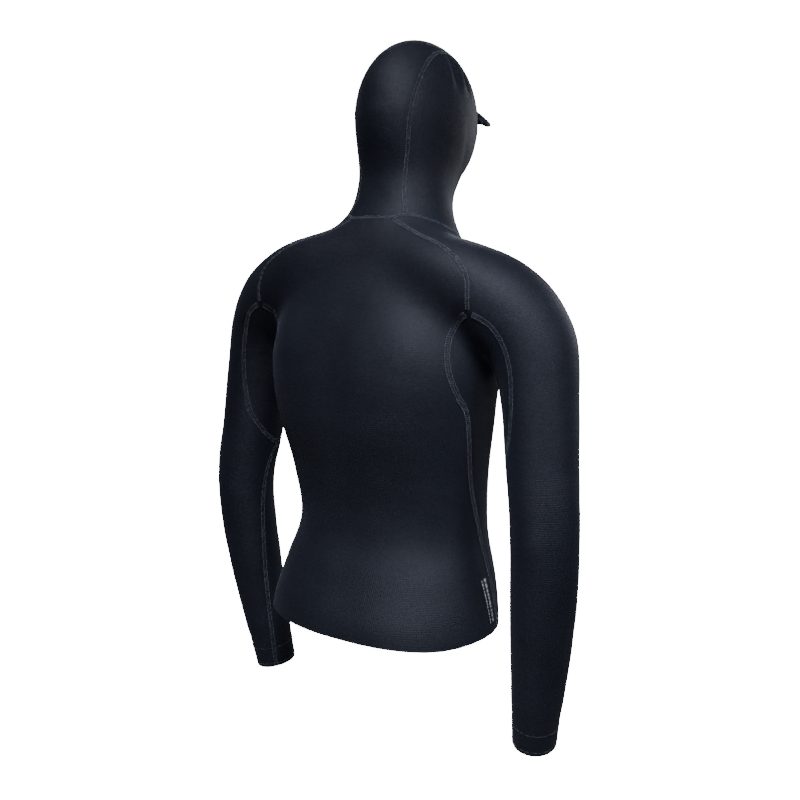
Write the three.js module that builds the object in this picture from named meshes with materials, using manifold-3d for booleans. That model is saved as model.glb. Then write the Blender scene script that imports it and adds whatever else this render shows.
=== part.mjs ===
// Hooded long-sleeve neoprene surf top, cut from flat panels that are butted and flatlock stitched.
// It is shaped as it is worn. Millimetres, +Z up, the wearer faces -Y and the wearer's left is +X.
// Every panel lies on one smooth body form: a trunk, a skull and two arms that melt into each other.
import * as THREE from "three";
import { mergeVertices } from "three/addons/utils/BufferGeometryUtils.js";
import Module from "manifold-3d";

const point = (x, y, z) => new THREE.Vector3(x, y, z);

// ---- Cloth and thread ----
const FOAM = 2.0; // panel thickness, foam with a jersey face on both sides
const GAP = 0.3; // between two pieces that touch
const SEAM_WIDTH = 7; // band of thread that covers a butted seam
const SEAM_THICK = 0.7;
const SEAM_LIFT = 1.1; // from the panels to the thread above them
const TAPE_THICK = 0.8; // tapes and seals glued inside
const TAPE_LIFT = 0.9; // from the panels' inner face to the tape under them
const CUFF_LENGTH = 34; // smooth seal inside each cuff
const CUFF_LINE = 2.4; // width of the stitched line that holds the seal
const CUFF_SLACK = 0.5; // the cuff's line of thread stands this much prouder
const HEM_TAPE_WIDTH = 12;
const HEM_TAPE_SLACK = 0.9; // the tape hangs a little looser inside the flare of the hem
const NECK_TAPE_WIDTH = 13;
const BINDING_WIDTH = 5; // folded edge of the face opening
const BINDING_THICK = 3.4;
const STRIP = 5.5; // first row of facets beside every seam

// ---- Heights on the wearer ----
const BELOW_HEM = -640;
const HEM = -591;
const HEM_FRONT = -578;
const HIP = -560;
const BELT = -515;
const WAIST = -450;
const LOW_RIB = -370;
const RIB = -280;
const CHEST = -200;
const ARMPIT = -125;
const YOKE = -60;
const NAPE = 0;
const NECK = 45;
const JAW = 90;
const FACE = 130; // the trunk's tube ends here, inside the skull

// ---- The body form ----
const TRUNK = [
  { z: BELOW_HEM, half: 184, back: 142, front: -88, square: 2.3 },
  { z: HEM, half: 183, back: 142, front: -94, square: 2.3 },
  { z: HIP, half: 178, back: 138, front: -102, square: 2.3 },
  { z: BELT, half: 167, back: 120, front: -104, square: 2.3 },
  { z: WAIST, half: 151, back: 101, front: -104, square: 2.2 },
  { z: LOW_RIB, half: 151, back: 112, front: -102, square: 2.4 },
  { z: RIB, half: 164, back: 136, front: -102, square: 2.5 },
  { z: CHEST, half: 169, back: 140, front: -109, square: 2.5 },
  { z: ARMPIT, half: 152, back: 116, front: -110, square: 2.4 },
  { z: YOKE, half: 114, back: 82, front: -90, square: 2.2 },
  { z: NAPE, half: 78, back: 46, front: -94, square: 2 },
  { z: NECK, half: 67, back: 32, front: -116, square: 2.2 },
  { z: JAW, half: 65, back: 31, front: -142, square: 2.4 },
  { z: FACE, half: 66, back: 38, front: -154, square: 2.4 },
];
const SKULL = { at: point(0, -66, 136), radii: point(77, 110, 108) };
const ARM = [
  { at: point(10, 38, -48), across: 32, deep: 34 },
  { at: point(104, 37, -77), across: 46, deep: 53 },
  { at: point(186, 18, -118), across: 58, deep: 64 },
  { at: point(232, 6, -170), across: 56, deep: 63 },
  { at: point(250, 12, -250), across: 50, deep: 55 },
  { at: point(260, 22, -335), across: 48, deep: 48 },
  { at: point(270, 30, -425), across: 47, deep: 42 },
  { at: point(264, 20, -550), across: 44, deep: 40 },
  { at: point(244, -4, -734), across: 30, deep: 33 },
];
const ARM_MELT = 34; // size of the soft fillet between trunk and arm
const SKULL_MELT = 40;
const ELBOW = 6; // station of ARM where the sleeve bends
const WRIST = 8;

// ---- Facets, as steps along each seam ----
const STEPS = {
  neckBack: 10, neckCorner: 2, neckSide: 8, neckFront: 5,
  raglan: 8, side: 11, gusset: 9, tip: 3, closing: 4, forearm: 8,
  hood: 12, underarm: 6, face: 0,
};
STEPS.face = STEPS.neckSide + STEPS.neckFront;
const SLEEVE_AROUND = STEPS.neckCorner + STEPS.neckSide;
const RELAX_ROUNDS = 30;

// ---- The body form as a distance: negative inside, zero on the outer face of the cloth ----
const trunkRow = (z) => {
  const height = THREE.MathUtils.clamp(z, TRUNK[0].z, TRUNK[TRUNK.length - 1].z);
  let k = 0;
  while (k < TRUNK.length - 2 && TRUNK[k + 1].z <= height) k += 1;
  const [low, high] = [TRUNK[k], TRUNK[k + 1]];
  const step = high.z - low.z;
  const t = (height - low.z) / step;
  const slope = (i, key) => {
    const before = TRUNK[Math.max(i - 1, 0)];
    const after = TRUNK[Math.min(i + 1, TRUNK.length - 1)];
    return (after[key] - before[key]) / (after.z - before.z);
  };
  const row = {};
  for (const key of ["half", "back", "front", "square"]) {
    row[key] = low[key] * (2 * t ** 3 - 3 * t ** 2 + 1)
      + high[key] * (3 * t ** 2 - 2 * t ** 3)
      + slope(k, key) * step * (t ** 3 - 2 * t ** 2 + t)
      + slope(k + 1, key) * step * (t ** 3 - t ** 2);
  }
  return row;
};

const pastEnd = (distance, over) => (over > 0 ? Math.hypot(Math.max(distance, 0), over) : distance);

const trunkDistance = (p) => {
  const row = trunkRow(p.z);
  const [x, y] = [Math.abs(p.x), Math.abs(p.y - (row.back + row.front) / 2)];
  const deep = (row.back - row.front) / 2;
  const size = ((x / row.half) ** row.square + (y / deep) ** row.square + 1e-9) ** (1 / row.square);
  return pastEnd(Math.hypot(x, y) * (1 - 1 / size), p.z - FACE);
};

const skullDistance = (p) => {
  const q = p.clone().sub(SKULL.at);
  const size = q.clone().divide(SKULL.radii).length();
  const slope = q.clone().divide(SKULL.radii).divide(SKULL.radii).length() + 1e-9;
  return (size * (size - 1)) / slope;
};

// The arm's centre line with a frame and radii at each small step.
const ARM_LINE_STEPS = 120;
const armCurve = (key) => {
  const last = ARM.length - 1;
  const value = (i) => {
    if (i < 0) return 2 * key(ARM[0]) - key(ARM[1]);
    return i > last ? 2 * key(ARM[last]) - key(ARM[last - 1]) : key(ARM[i]);
  };
  return (station) => {
    const i = Math.min(Math.floor(station), last - 1);
    const f = station - i;
    const [a, b, c, d] = [value(i - 1), value(i), value(i + 1), value(i + 2)];
    return (2 * b + (c - a) * f + (2 * a - 5 * b + 4 * c - d) * f * f
      + (3 * b - a - 3 * c + d) * f ** 3) / 2;
  };
};
const armX = armCurve((s) => s.at.x);
const armY = armCurve((s) => s.at.y);
const armZ = armCurve((s) => s.at.z);
const armAcross = armCurve((s) => s.across);
const armDeep = armCurve((s) => s.deep);
const armCentre = (station) => point(armX(station), armY(station), armZ(station));
const ARM_LINE = Array.from({ length: ARM_LINE_STEPS }, (_, i) => {
  const station = (i * WRIST) / (ARM_LINE_STEPS - 1);
  return { station, at: armCentre(station) };
});

const armFrame = (station) => {
  const reach = WRIST / ARM_LINE_STEPS;
  const from = armCentre(Math.max(station - reach, 0));
  const along = armCentre(Math.min(station + reach, WRIST)).sub(from).normalize();
  const back = point(0, 1, 0).addScaledVector(along, -along.y).normalize();
  return { at: armCentre(station), along, back, out: along.clone().cross(back) };
};

// Where a point lies beside the left arm: station, angle from outward to back, and relative radius.
const armChart = (p) => {
  let best = { gap: Infinity, station: 0 };
  for (let i = 0; i < ARM_LINE.length - 1; i += 1) {
    const [a, b] = [ARM_LINE[i], ARM_LINE[i + 1]];
    const run = b.at.clone().sub(a.at);
    const t = THREE.MathUtils.clamp(p.clone().sub(a.at).dot(run) / run.lengthSq(), 0, 1);
    const gap = a.at.clone().addScaledVector(run, t).distanceTo(p);
    if (gap < best.gap) best = { gap, station: THREE.MathUtils.lerp(a.station, b.station, t) };
  }
  const frame = armFrame(best.station);
  const q = p.clone().sub(frame.at);
  const [out, back] = [q.dot(frame.out), q.dot(frame.back)];
  const size = Math.hypot(out / armAcross(best.station), back / armDeep(best.station)) + 1e-9;
  return {
    station: best.station,
    angle: Math.atan2(back / armDeep(best.station), out / armAcross(best.station)),
    size, along: q.dot(frame.along), reach: Math.hypot(out, back),
  };
};

const armPoint = (station, angle, size = 1) => {
  const frame = armFrame(station);
  return frame.at
    .addScaledVector(frame.out, Math.cos(angle) * armAcross(station) * size)
    .addScaledVector(frame.back, Math.sin(angle) * armDeep(station) * size);
};

const armDistance = (p) => {
  const chart = armChart(point(Math.abs(p.x), p.y, p.z));
  const over = chart.station <= 0 ? -chart.along : 0;
  return pastEnd(chart.reach * (1 - 1 / chart.size), over);
};

const melt = (a, b, size) => {
  const share = Math.max(size - Math.abs(a - b), 0) / size;
  return Math.min(a, b) - (share ** 3 * size) / 6;
};
const bodyDistance = (p) =>
  melt(melt(trunkDistance(p), armDistance(p), ARM_MELT), skullDistance(p), SKULL_MELT);

const SLOPE_STEP = 0.5;
const slopeAt = (p) => {
  const slope = point(0, 0, 0);
  for (const key of ["x", "y", "z"]) {
    const [ahead, behind] = [p.clone(), p.clone()];
    ahead[key] += SLOPE_STEP;
    behind[key] -= SLOPE_STEP;
    slope[key] = (bodyDistance(ahead) - bodyDistance(behind)) / (2 * SLOPE_STEP);
  }
  return slope;
};
const normalAt = (p) => slopeAt(p).normalize();
const settle = (p, rounds = 5) => {
  const q = p.clone();
  for (let i = 0; i < rounds; i += 1) {
    const slope = slopeAt(q);
    q.addScaledVector(slope, -bodyDistance(q) / Math.max(slope.lengthSq(), 0.05));
  }
  return q;
};

// ---- Seams: lists of points on the form, shared by the panels on both sides of them ----
const mirrored = (list) => list.map((p) => point(-p.x, p.y, p.z));
const backwards = (list) => [...list].reverse();
const joined = (...lists) => lists.reduce((all, list) => all.concat(all.length ? list.slice(1) : list), []);
const sampled = (curve, from, to, steps) =>
  Array.from({ length: steps + 1 }, (_, i) => settle(curve.getPoint(from + ((to - from) * i) / steps)));
// A seam's points are evenly spaced, or crowd towards its start where it begins in a hollow.
const EVEN = 1;
const CROWDED = 1.45;
const seam = (controls, steps, crowding = EVEN) => {
  const curve = new THREE.CatmullRomCurve3(controls.map((p) => settle(p)), false, "centripetal");
  curve.arcLengthDivisions = 400;
  return Array.from({ length: steps + 1 }, (_, i) => settle(curve.getPointAt((i / steps) ** crowding)));
};

// The neck seam is one ring; the other seams leave it at its second, third and seventh points.
const neckLeft = [
  point(0, 49, -9), point(33, 47, -8), point(51, 36, -4), point(77, 13, -14),
  point(91, -11, -26), point(84, -52, -42), point(42, -86, -52), point(0, -92, -56),
];
const neckRing = neckLeft.concat(backwards(mirrored(neckLeft)).slice(1, -1));
const neckCurve = new THREE.CatmullRomCurve3(neckRing.map((p) => settle(p)), true, "centripetal");
const neckAt = (knot) => knot / neckRing.length;
const neck = {
  backHalf: sampled(neckCurve, neckAt(0), neckAt(1), STEPS.neckBack / 2),
  corner: sampled(neckCurve, neckAt(1), neckAt(2), STEPS.neckCorner),
  side: sampled(neckCurve, neckAt(2), neckAt(6), STEPS.neckSide),
  front: sampled(neckCurve, neckAt(6), neckAt(7), STEPS.neckFront),
};
const neckBackStart = neck.corner[0];
const neckHoodStart = neck.side[0];
const neckFrontStart = neck.front[0];
const neckFrontCentre = neck.front[STEPS.neckFront];

// Raglan seams run from the neck to the two ends of the underarm panel.
const backPit = settle(point(181, 81, -130));
const frontPit = settle(point(166, -54, -142));
const raglanBack = backwards(seam(
  [backPit, point(176, 80, -86), point(160, 74, -68), point(134, 68, -52), point(98, 60, -38),
    point(62, 50, -22), neckBackStart],
  STEPS.raglan, CROWDED));
const raglanFront = backwards(seam(
  [frontPit, point(152, -60, -122), point(120, -70, -96), point(78, -78, -70), neckFrontStart],
  STEPS.raglan, CROWDED));

// Side seams run from the armpit to the hem, and sweep forward at the waist.
const sideBack = seam([
  backPit, point(158, 72, -146), point(149, 80, -174), point(152, 84, -206), point(159, 72, -241),
  point(163, 54, -266), point(159, 40, -306), point(150, 17, -381), point(150, -5, WAIST),
  point(180, -14, HEM_FRONT - 6),
], STEPS.side, CROWDED);
const sideFront = seam([
  frontPit, point(154, -62, -168), point(152, -66, -215), point(150, -60, RIB),
  point(142, -56, LOW_RIB), point(140, -64, WAIST), point(164, -62, HEM_FRONT),
], STEPS.side, CROWDED);

// The underarm panel ends in a rounded tip on the inside of the arm.
const tipBack = settle(point(218, 42, -335));
const tipFront = settle(point(214, -22, -332));
const tipEnd = settle(point(211, 10, -356));
const gussetBack = seam(
  [backPit, point(211, 76, -149), point(229, 68, -186), point(235, 66, -230), point(229, 60, -300), tipBack],
  STEPS.gusset);
const gussetFront = seam(
  [frontPit, point(192, -52, -156), point(216, -50, -190), point(226, -42, -240), point(224, -34, -300),
    tipFront],
  STEPS.gusset);
const tipCurve = new THREE.CatmullRomCurve3([
  gussetBack[STEPS.gusset - 1], tipBack, tipEnd, tipFront, gussetFront[STEPS.gusset - 1],
], false, "centripetal");
const tipBackHalf = sampled(tipCurve, 1 / 4, 2 / 4, STEPS.tip);
const tipFrontHalf = backwards(sampled(tipCurve, 2 / 4, 3 / 4, STEPS.tip));

// The sleeve closes on the inside of the arm, drifting to the back at the wrist.
const CLOSING_ELBOW = THREE.MathUtils.degToRad(170);
const CLOSING_WRIST = THREE.MathUtils.degToRad(135);
const closingAngle = (station) =>
  THREE.MathUtils.mapLinear(station, ELBOW, WRIST, CLOSING_ELBOW, CLOSING_WRIST);
const closing = seam([tipEnd, armPoint(5.5, closingAngle(5.5)), armPoint(ELBOW, CLOSING_ELBOW)],
  STEPS.closing);
const turn = (k) => (2 * Math.PI * k) / SLEEVE_AROUND;
const elbowRing = Array.from({ length: SLEEVE_AROUND + 1 },
  (_, k) => settle(armPoint(ELBOW, CLOSING_ELBOW - turn(k))));

// Hem: one ring of points, dipping at the back.
const hemRun = (from, middle, to, steps) => seam([from, ...middle, to], steps);
const hemBackLeft = sideBack[STEPS.side];
const hemFrontLeft = sideFront[STEPS.side];
const hemBackHalf = hemRun(point(0, 142, HEM), [point(70, 134, HEM), point(140, 92, HEM)], hemBackLeft,
  STEPS.neckBack / 2);
const hemSide = hemRun(hemBackLeft, [point(178, -40, HEM_FRONT)], hemFrontLeft, STEPS.underarm);
const hemFrontHalf = hemRun(hemFrontLeft, [point(90, -88, HEM_FRONT)], point(0, -96, HEM_FRONT),
  STEPS.neckFront);

// Hood: a centre panel between two seams, two side panels, and a seam under the chin.
const brow = settle(point(44, -166, 149));
const chin = settle(point(0, -114, 34));
const hoodSeam = seam([
  brow, point(45, -120, 212), point(46, -56, 223), point(50, -15, 200), point(51, 5, 176),
  point(50, 23, 134), point(43, 21, 82), point(38, 20, 48), point(41, 26, 20), neckHoodStart,
], STEPS.hood);
const chinSeam = seam([neckFrontCentre, point(0, -94, -10), chin], STEPS.hood);
const faceEdge = seam(
  [chin, point(30, -114, 44), point(50, -124, 72), point(62, -138, 106), point(58, -153, 134), brow],
  STEPS.face);
const BROW_STEPS = 2 * STEPS.neckCorner + STEPS.neckBack;
const browEdge = seam([point(-brow.x, brow.y, brow.z), point(0, -174, 147), brow], BROW_STEPS);

// ---- Panels ----
const mix = (a, b, t) => a.clone().lerp(b, t);

// Fills the space between four rows of points, and lets the grid even itself out on the form.
// left and right run from bottom to top; bottom and top run from left to right.
const fillGrid = (edges, guess) => {
  const { left, right, bottom, top } = edges;
  const [across, along] = [bottom.length - 1, left.length - 1];
  const grid = [];
  for (let j = 0; j <= along; j += 1) {
    grid.push([]);
    for (let i = 0; i <= across; i += 1) {
      const [u, v] = [i / across, j / along];
      const p = guess(u, j, v);
      const ends = [guess(u, 0, 0), guess(u, along, 1)];
      p.addScaledVector(bottom[i].clone().sub(ends[0]), (1 - v) ** 2);
      p.addScaledVector(top[i].clone().sub(ends[1]), v ** 2);
      grid[j].push(settle(p));
    }
  }
  grid[0] = bottom.map((p) => p.clone());
  grid[along] = top.map((p) => p.clone());
  for (let j = 0; j <= along; j += 1) {
    grid[j][0] = left[j].clone();
    grid[j][across] = right[j].clone();
  }
  for (let round = 0; round < RELAX_ROUNDS; round += 1) {
    for (let j = 1; j < along; j += 1) {
      for (let i = 1; i < across; i += 1) {
        const [south, north, west, east] = [grid[j - 1][i], grid[j + 1][i], grid[j][i - 1], grid[j][i + 1]];
        const along2 = south.distanceToSquared(north);
        const across2 = west.distanceToSquared(east);
        grid[j][i] = settle(mix(mix(south, north, 0.5), mix(west, east, 0.5), along2 / (along2 + across2)), 2);
      }
    }
  }
  return grid;
};

// Adds the narrow strip of facets beside each edge, so that the thread lies flat on the panel.
const withStrips = (grid) => {
  const narrowed = (line) => {
    const last = line.length - 1;
    const beside = (from, to) => settle(mix(from, to, Math.min(STRIP / from.distanceTo(to), 0.45)), 2);
    return [line[0], beside(line[0], line[1]), ...line.slice(1, last),
      beside(line[last], line[last - 1]), line[last]];
  };
  const wide = grid.map(narrowed);
  const columns = wide[0].map((_, i) => narrowed(wide.map((row) => row[i])));
  return columns[0].map((_, j) => columns.map((column) => column[j]));
};

// Turns every face round if the solid is inside out.
const flipFaces = (geometry) => {
  const index = geometry.index.array;
  for (let k = 0; k < index.length; k += 3) [index[k], index[k + 1]] = [index[k + 1], index[k]];
  return geometry;
};
const facingOut = (geometry) => {
  const [spots, index] = [geometry.attributes.position, geometry.index.array];
  const corner = (k) => point(0, 0, 0).fromBufferAttribute(spots, index[k]);
  let volume = 0;
  for (let k = 0; k < index.length; k += 3) {
    volume += corner(k).dot(corner(k + 1).cross(corner(k + 2)));
  }
  return volume < 0 ? flipFaces(geometry) : geometry;
};

// Moves each point of a ready-made geometry to its place on the garment.
const geometryFrom = (box, place) => {
  const spots = box.attributes.position;
  for (let k = 0; k < spots.count; k += 1) {
    const p = place(spots.getX(k), spots.getY(k), spots.getZ(k), k);
    spots.setXYZ(k, p.x, p.y, p.z);
  }
  box.deleteAttribute("normal");
  box.deleteAttribute("uv");
  return facingOut(mergeVertices(box, 1e-4));
};

// Turns a grid of points on the form into one panel of foam, half a gap clear of every edge.
const TWIST_SHARE = 0.18; // a little more, where the edge's wall twists between two points
const panelGeometry = (rough) => {
  const grid = withStrips(rough);
  const [along, across] = [grid.length - 1, grid[0].length - 1];
  const normals = grid.map((row) => row.map((p) => normalAt(p)));
  const inset = grid.map((row, j) => row.map((p, i) => {
    const q = p.clone();
    const step = (toJ, toI, onEdge, before, after) => {
      if (!onEdge) return;
      const inward = grid[toJ][toI].clone().sub(p);
      const run = after.at.clone().sub(before.at).normalize();
      inward.addScaledVector(run, -inward.dot(run));
      inward.addScaledVector(normals[j][i], -inward.dot(normals[j][i]));
      const twist = Math.max(before.normal.distanceTo(normals[j][i]), after.normal.distanceTo(normals[j][i]));
      q.addScaledVector(inward.normalize(), GAP / 2 + FOAM * twist * TWIST_SHARE);
    };
    const beside = (row, column) => ({ at: grid[row][column], normal: normals[row][column] });
    const [west, east] = [beside(j, Math.max(i - 1, 0)), beside(j, Math.min(i + 1, across))];
    const [south, north] = [beside(Math.max(j - 1, 0), i), beside(Math.min(j + 1, along), i)];
    step(j, 1, i === 0, south, north);
    step(j, across - 1, i === across, south, north);
    step(1, i, j === 0, west, east);
    step(along - 1, i, j === along, west, east);
    return q;
  }));
  const [midJ, midI] = [Math.floor(along / 2), Math.floor(across / 2)];
  const east = inset[midJ][midI + 1].clone().sub(inset[midJ][midI]);
  const north = inset[midJ + 1][midI].clone().sub(inset[midJ][midI]);
  const flipped = east.cross(north).dot(normals[midJ][midI]) < 0;
  const box = new THREE.BoxGeometry(1, 1, 1, across, along, 1);
  return geometryFrom(box, (x, y, z) => {
    const i = Math.round((flipped ? 0.5 - x : x + 0.5) * across);
    const j = Math.round((y + 0.5) * along);
    const depth = z > 0 ? 0 : -FOAM;
    return inset[j][i].clone().addScaledVector(normals[j][i], depth);
  });
};

// ---- Bands that follow a line on the form ----
// Frames along a line: the form's normal and the direction across the line.
const lineFrames = (line, closed) => line.map((p, i) => {
  const last = line.length - 1;
  const before = line[i > 0 ? i - 1 : closed ? last : 0];
  const after = line[i < last ? i + 1 : closed ? 0 : last];
  const normal = normalAt(p);
  const along = after.clone().sub(before).normalize();
  return { at: p, normal, across: along.clone().cross(normal).normalize() };
});
const bandPoint = (frame, side, height) => {
  const foot = settle(frame.at.clone().addScaledVector(frame.across, side), 3);
  return foot.addScaledVector(normalAt(foot), height);
};

const bandGeometry = (line, { low, high, left, right }) => {
  const frames = lineFrames(line, false);
  const box = new THREE.BoxGeometry(1, 1, 1, frames.length - 1, 1, 1);
  return geometryFrom(box, (x, y, z) => {
    const frame = frames[Math.round((x + 0.5) * (frames.length - 1))];
    return bandPoint(frame, y > 0 ? left : right, z > 0 ? high : low);
  });
};

// A closed band has the four corners of its section where a torus has its small circle.
const SECTION_SIDES = 4;
const ringGeometry = (line, section) => {
  const frames = lineFrames(line, true);
  const torus = new THREE.TorusGeometry(1, 0.5, SECTION_SIDES, frames.length);
  return geometryFrom(torus, (x, y, z, k) => {
    const corner = Math.floor(k / (frames.length + 1)) % SECTION_SIDES;
    const frame = frames[(k % (frames.length + 1)) % frames.length];
    return section(frame, corner);
  });
};
const boxSection = ({ low, high, left, right }) => (frame, corner) => bandPoint(
  frame, corner === 0 || corner === 3 ? left : right, corner < 2 ? low : high);

const LONGEST_CUT = 0.5; // of a step, so that no sliver of a step is left
// Cuts a line short at its ends, where other threads cross.
const trimmed = (line, fromStart, fromEnd) => {
  const cut = (list, length) => {
    if (length <= 0) return list;
    const rest = [...list];
    let left = length;
    while (rest.length > 2 && rest[0].distanceTo(rest[1]) <= left) {
      left -= rest[0].distanceTo(rest[1]);
      rest.shift();
    }
    const share = left / rest[0].distanceTo(rest[1]);
    if (share > LONGEST_CUT) rest.shift();
    else rest[0] = mix(rest[0], rest[1], share);
    return rest;
  };
  return backwards(cut(backwards(cut(line, fromStart)), fromEnd));
};
const THREAD = {
  low: SEAM_LIFT, high: SEAM_LIFT + SEAM_THICK, left: -SEAM_WIDTH / 2, right: SEAM_WIDTH / 2,
};
const CROSSING = SEAM_WIDTH / 2 + GAP * 2; // a thread stops this short of the line it meets
const NECK_CLEAR = CROSSING + 4; // and the raglans this short of the neck's thread
const RAGLAN_PIT_CLEAR = 26; // more where threads meet in the hollow of the armpit
const RAGLAN_BACK_CLEAR = 14;
const SIDE_PIT_CLEAR = 48;
const UNDERARM_PIT_CLEAR = 16;
const threadGeometry = (line, fromStart, fromEnd) =>
  bandGeometry(trimmed(line, fromStart, fromEnd), THREAD);

// ---- Finishes ----
const finish = (color, roughness, metalness = 0) =>
  new THREE.MeshStandardMaterial({ color, roughness, metalness });
const JERSEY = finish(0x171c26, 0.72);
const JERSEY_SLEEVE = finish(0x151a24, 0.72);
const STITCH = finish(0x39424b, 0.6);
const SMOOTH_SKIN = finish(0x0c0e12, 0.45);
const INSERT = finish(0x22262c, 0.5);

const garment = new THREE.Group();
const add = (name, geometry, material, parent = garment) => {
  const mesh = new THREE.Mesh(geometry, material);
  mesh.name = name;
  parent.add(mesh);
  return mesh;
};
const onSide = (side, geometry) => {
  if (side === "left") return geometry;
  return flipFaces(geometry.clone().scale(-1, 1, 1));
};

// ---- Torso ----
const across = (grid) => (u, j) => mix(grid.left[j], grid.right[j], u);
const bothHalves = (half) => joined(backwards(mirrored(half)), half);
const backEdgesLeft = joined(raglanBack, sideBack);
const frontEdgesLeft = joined(raglanFront, sideFront);
const torsoPanel = (leftEdge, neckHalf, hemHalf) => {
  const edges = {
    left: mirrored(leftEdge), right: leftEdge, bottom: bothHalves(neckHalf), top: bothHalves(hemHalf),
  };
  return panelGeometry(fillGrid(edges, across(edges)));
};
add("back_panel", torsoPanel(backEdgesLeft, neck.backHalf, hemBackHalf), JERSEY);
add("front_panel", torsoPanel(frontEdgesLeft, backwards(neck.front), backwards(hemFrontHalf)), JERSEY);

// The underarm panel climbs the flank, turns over in the armpit and runs down the inner arm.
const underarmSpine = new THREE.CatmullRomCurve3([
  point(182, -40, HEM_FRONT), point(150, -34, WAIST), point(148, -22, LOW_RIB), point(160, 4, RIB),
  point(168, 8, -236), point(184, 8, -210), point(202, 8, -236), point(210, 10, RIB), tipEnd,
].map((p) => settle(p)), false, "centripetal");
const underarmEdges = {
  left: joined(backwards(sideBack), gussetBack),
  right: joined(backwards(sideFront), gussetFront),
  bottom: hemSide,
  top: joined(tipBackHalf, backwards(tipFrontHalf)),
};
const PIT_SHARE = STEPS.side / (STEPS.side + STEPS.gusset); // share of the rows below the armpit
const PIT_ON_SPINE = 5 / 8; // the armpit is the sixth of the spine's nine points
const underarmGuess = (u, j, v) => {
  const along = v < PIT_SHARE
    ? (v / PIT_SHARE) * PIT_ON_SPINE
    : PIT_ON_SPINE + ((v - PIT_SHARE) / (1 - PIT_SHARE)) * (1 - PIT_ON_SPINE);
  const spine = underarmSpine.getPoint(along);
  const bow = 4 * u * (1 - u);
  const straight = mix(underarmEdges.left[j], underarmEdges.right[j], u);
  const chord = mix(underarmEdges.left[j], underarmEdges.right[j], 0.5);
  return straight.addScaledVector(spine.sub(chord), bow);
};
const underarmPanel = panelGeometry(fillGrid(underarmEdges, underarmGuess));

// ---- Sleeves ----
const unwrapped = (angle, near) => angle + 2 * Math.PI * Math.round((near - angle) / (2 * Math.PI));
const sleeveEdges = {
  left: joined(raglanBack, gussetBack, tipBackHalf, closing),
  right: joined(raglanFront, gussetFront, tipFrontHalf, closing),
  bottom: joined(neck.corner, neck.side),
  top: elbowRing,
};
const QUARTER = Math.PI / 2;
const sleeveCharts = (line, sign) => line.map((p) => {
  const chart = armChart(p);
  return { ...chart, angle: unwrapped(chart.angle, sign * QUARTER * 1.5), at: p };
});
const backCharts = sleeveCharts(sleeveEdges.left, 1);
const frontCharts = sleeveCharts(sleeveEdges.right, -1);
const sleeveGuess = (u, j) => {
  const [a, b] = [backCharts[j], frontCharts[j]];
  const blend = (key) => THREE.MathUtils.lerp(a[key], b[key], u);
  const at = (chart) => armPoint(chart.station, chart.angle, chart.size);
  const guess = armPoint(blend("station"), blend("angle"), blend("size"));
  guess.addScaledVector(a.at.clone().sub(at(a)), 1 - u);
  return guess.addScaledVector(b.at.clone().sub(at(b)), u);
};
const upperSleeve = panelGeometry(fillGrid(sleeveEdges, sleeveGuess));

const forearmRing = (station) => Array.from({ length: SLEEVE_AROUND + 1 },
  (_, k) => settle(armPoint(station, closingAngle(station) - turn(k))));
const forearmStations = Array.from({ length: STEPS.forearm + 1 },
  (_, j) => ELBOW + ((WRIST - ELBOW) * j) / STEPS.forearm);
const forearmRings = forearmStations.map(forearmRing);
forearmRings[0] = elbowRing;
const forearmSleeve = panelGeometry(forearmRings);
const forearmClosing = forearmRings.map((ring) => ring[0]);

const wristLine = (fromEnd) => {
  const end = armCentre(WRIST);
  const length = armCentre(WRIST - 0.5).distanceTo(end) * 2;
  const station = WRIST - fromEnd / length;
  return forearmRing(station).slice(0, -1);
};
const sealGeometry = () => {
  const [outer, inner] = [wristLine(GAP), wristLine(CUFF_LENGTH)];
  const frames = [outer, inner].map((line) => lineFrames(line, true));
  const torus = new THREE.TorusGeometry(1, 0.5, SECTION_SIDES, outer.length);
  return geometryFrom(torus, (x, y, z, k) => {
    const corner = Math.floor(k / (outer.length + 1)) % SECTION_SIDES;
    const spot = (k % (outer.length + 1)) % outer.length;
    const frame = frames[corner === 0 || corner === 3 ? 0 : 1][spot];
    return bandPoint(frame, 0, -FOAM - TAPE_LIFT - (corner < 2 ? TAPE_THICK : 0));
  });
};
const cuffLine = {
  low: SEAM_LIFT + CUFF_SLACK, high: SEAM_LIFT + CUFF_SLACK + SEAM_THICK,
  left: -CUFF_LINE / 2, right: CUFF_LINE / 2,
};

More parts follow.
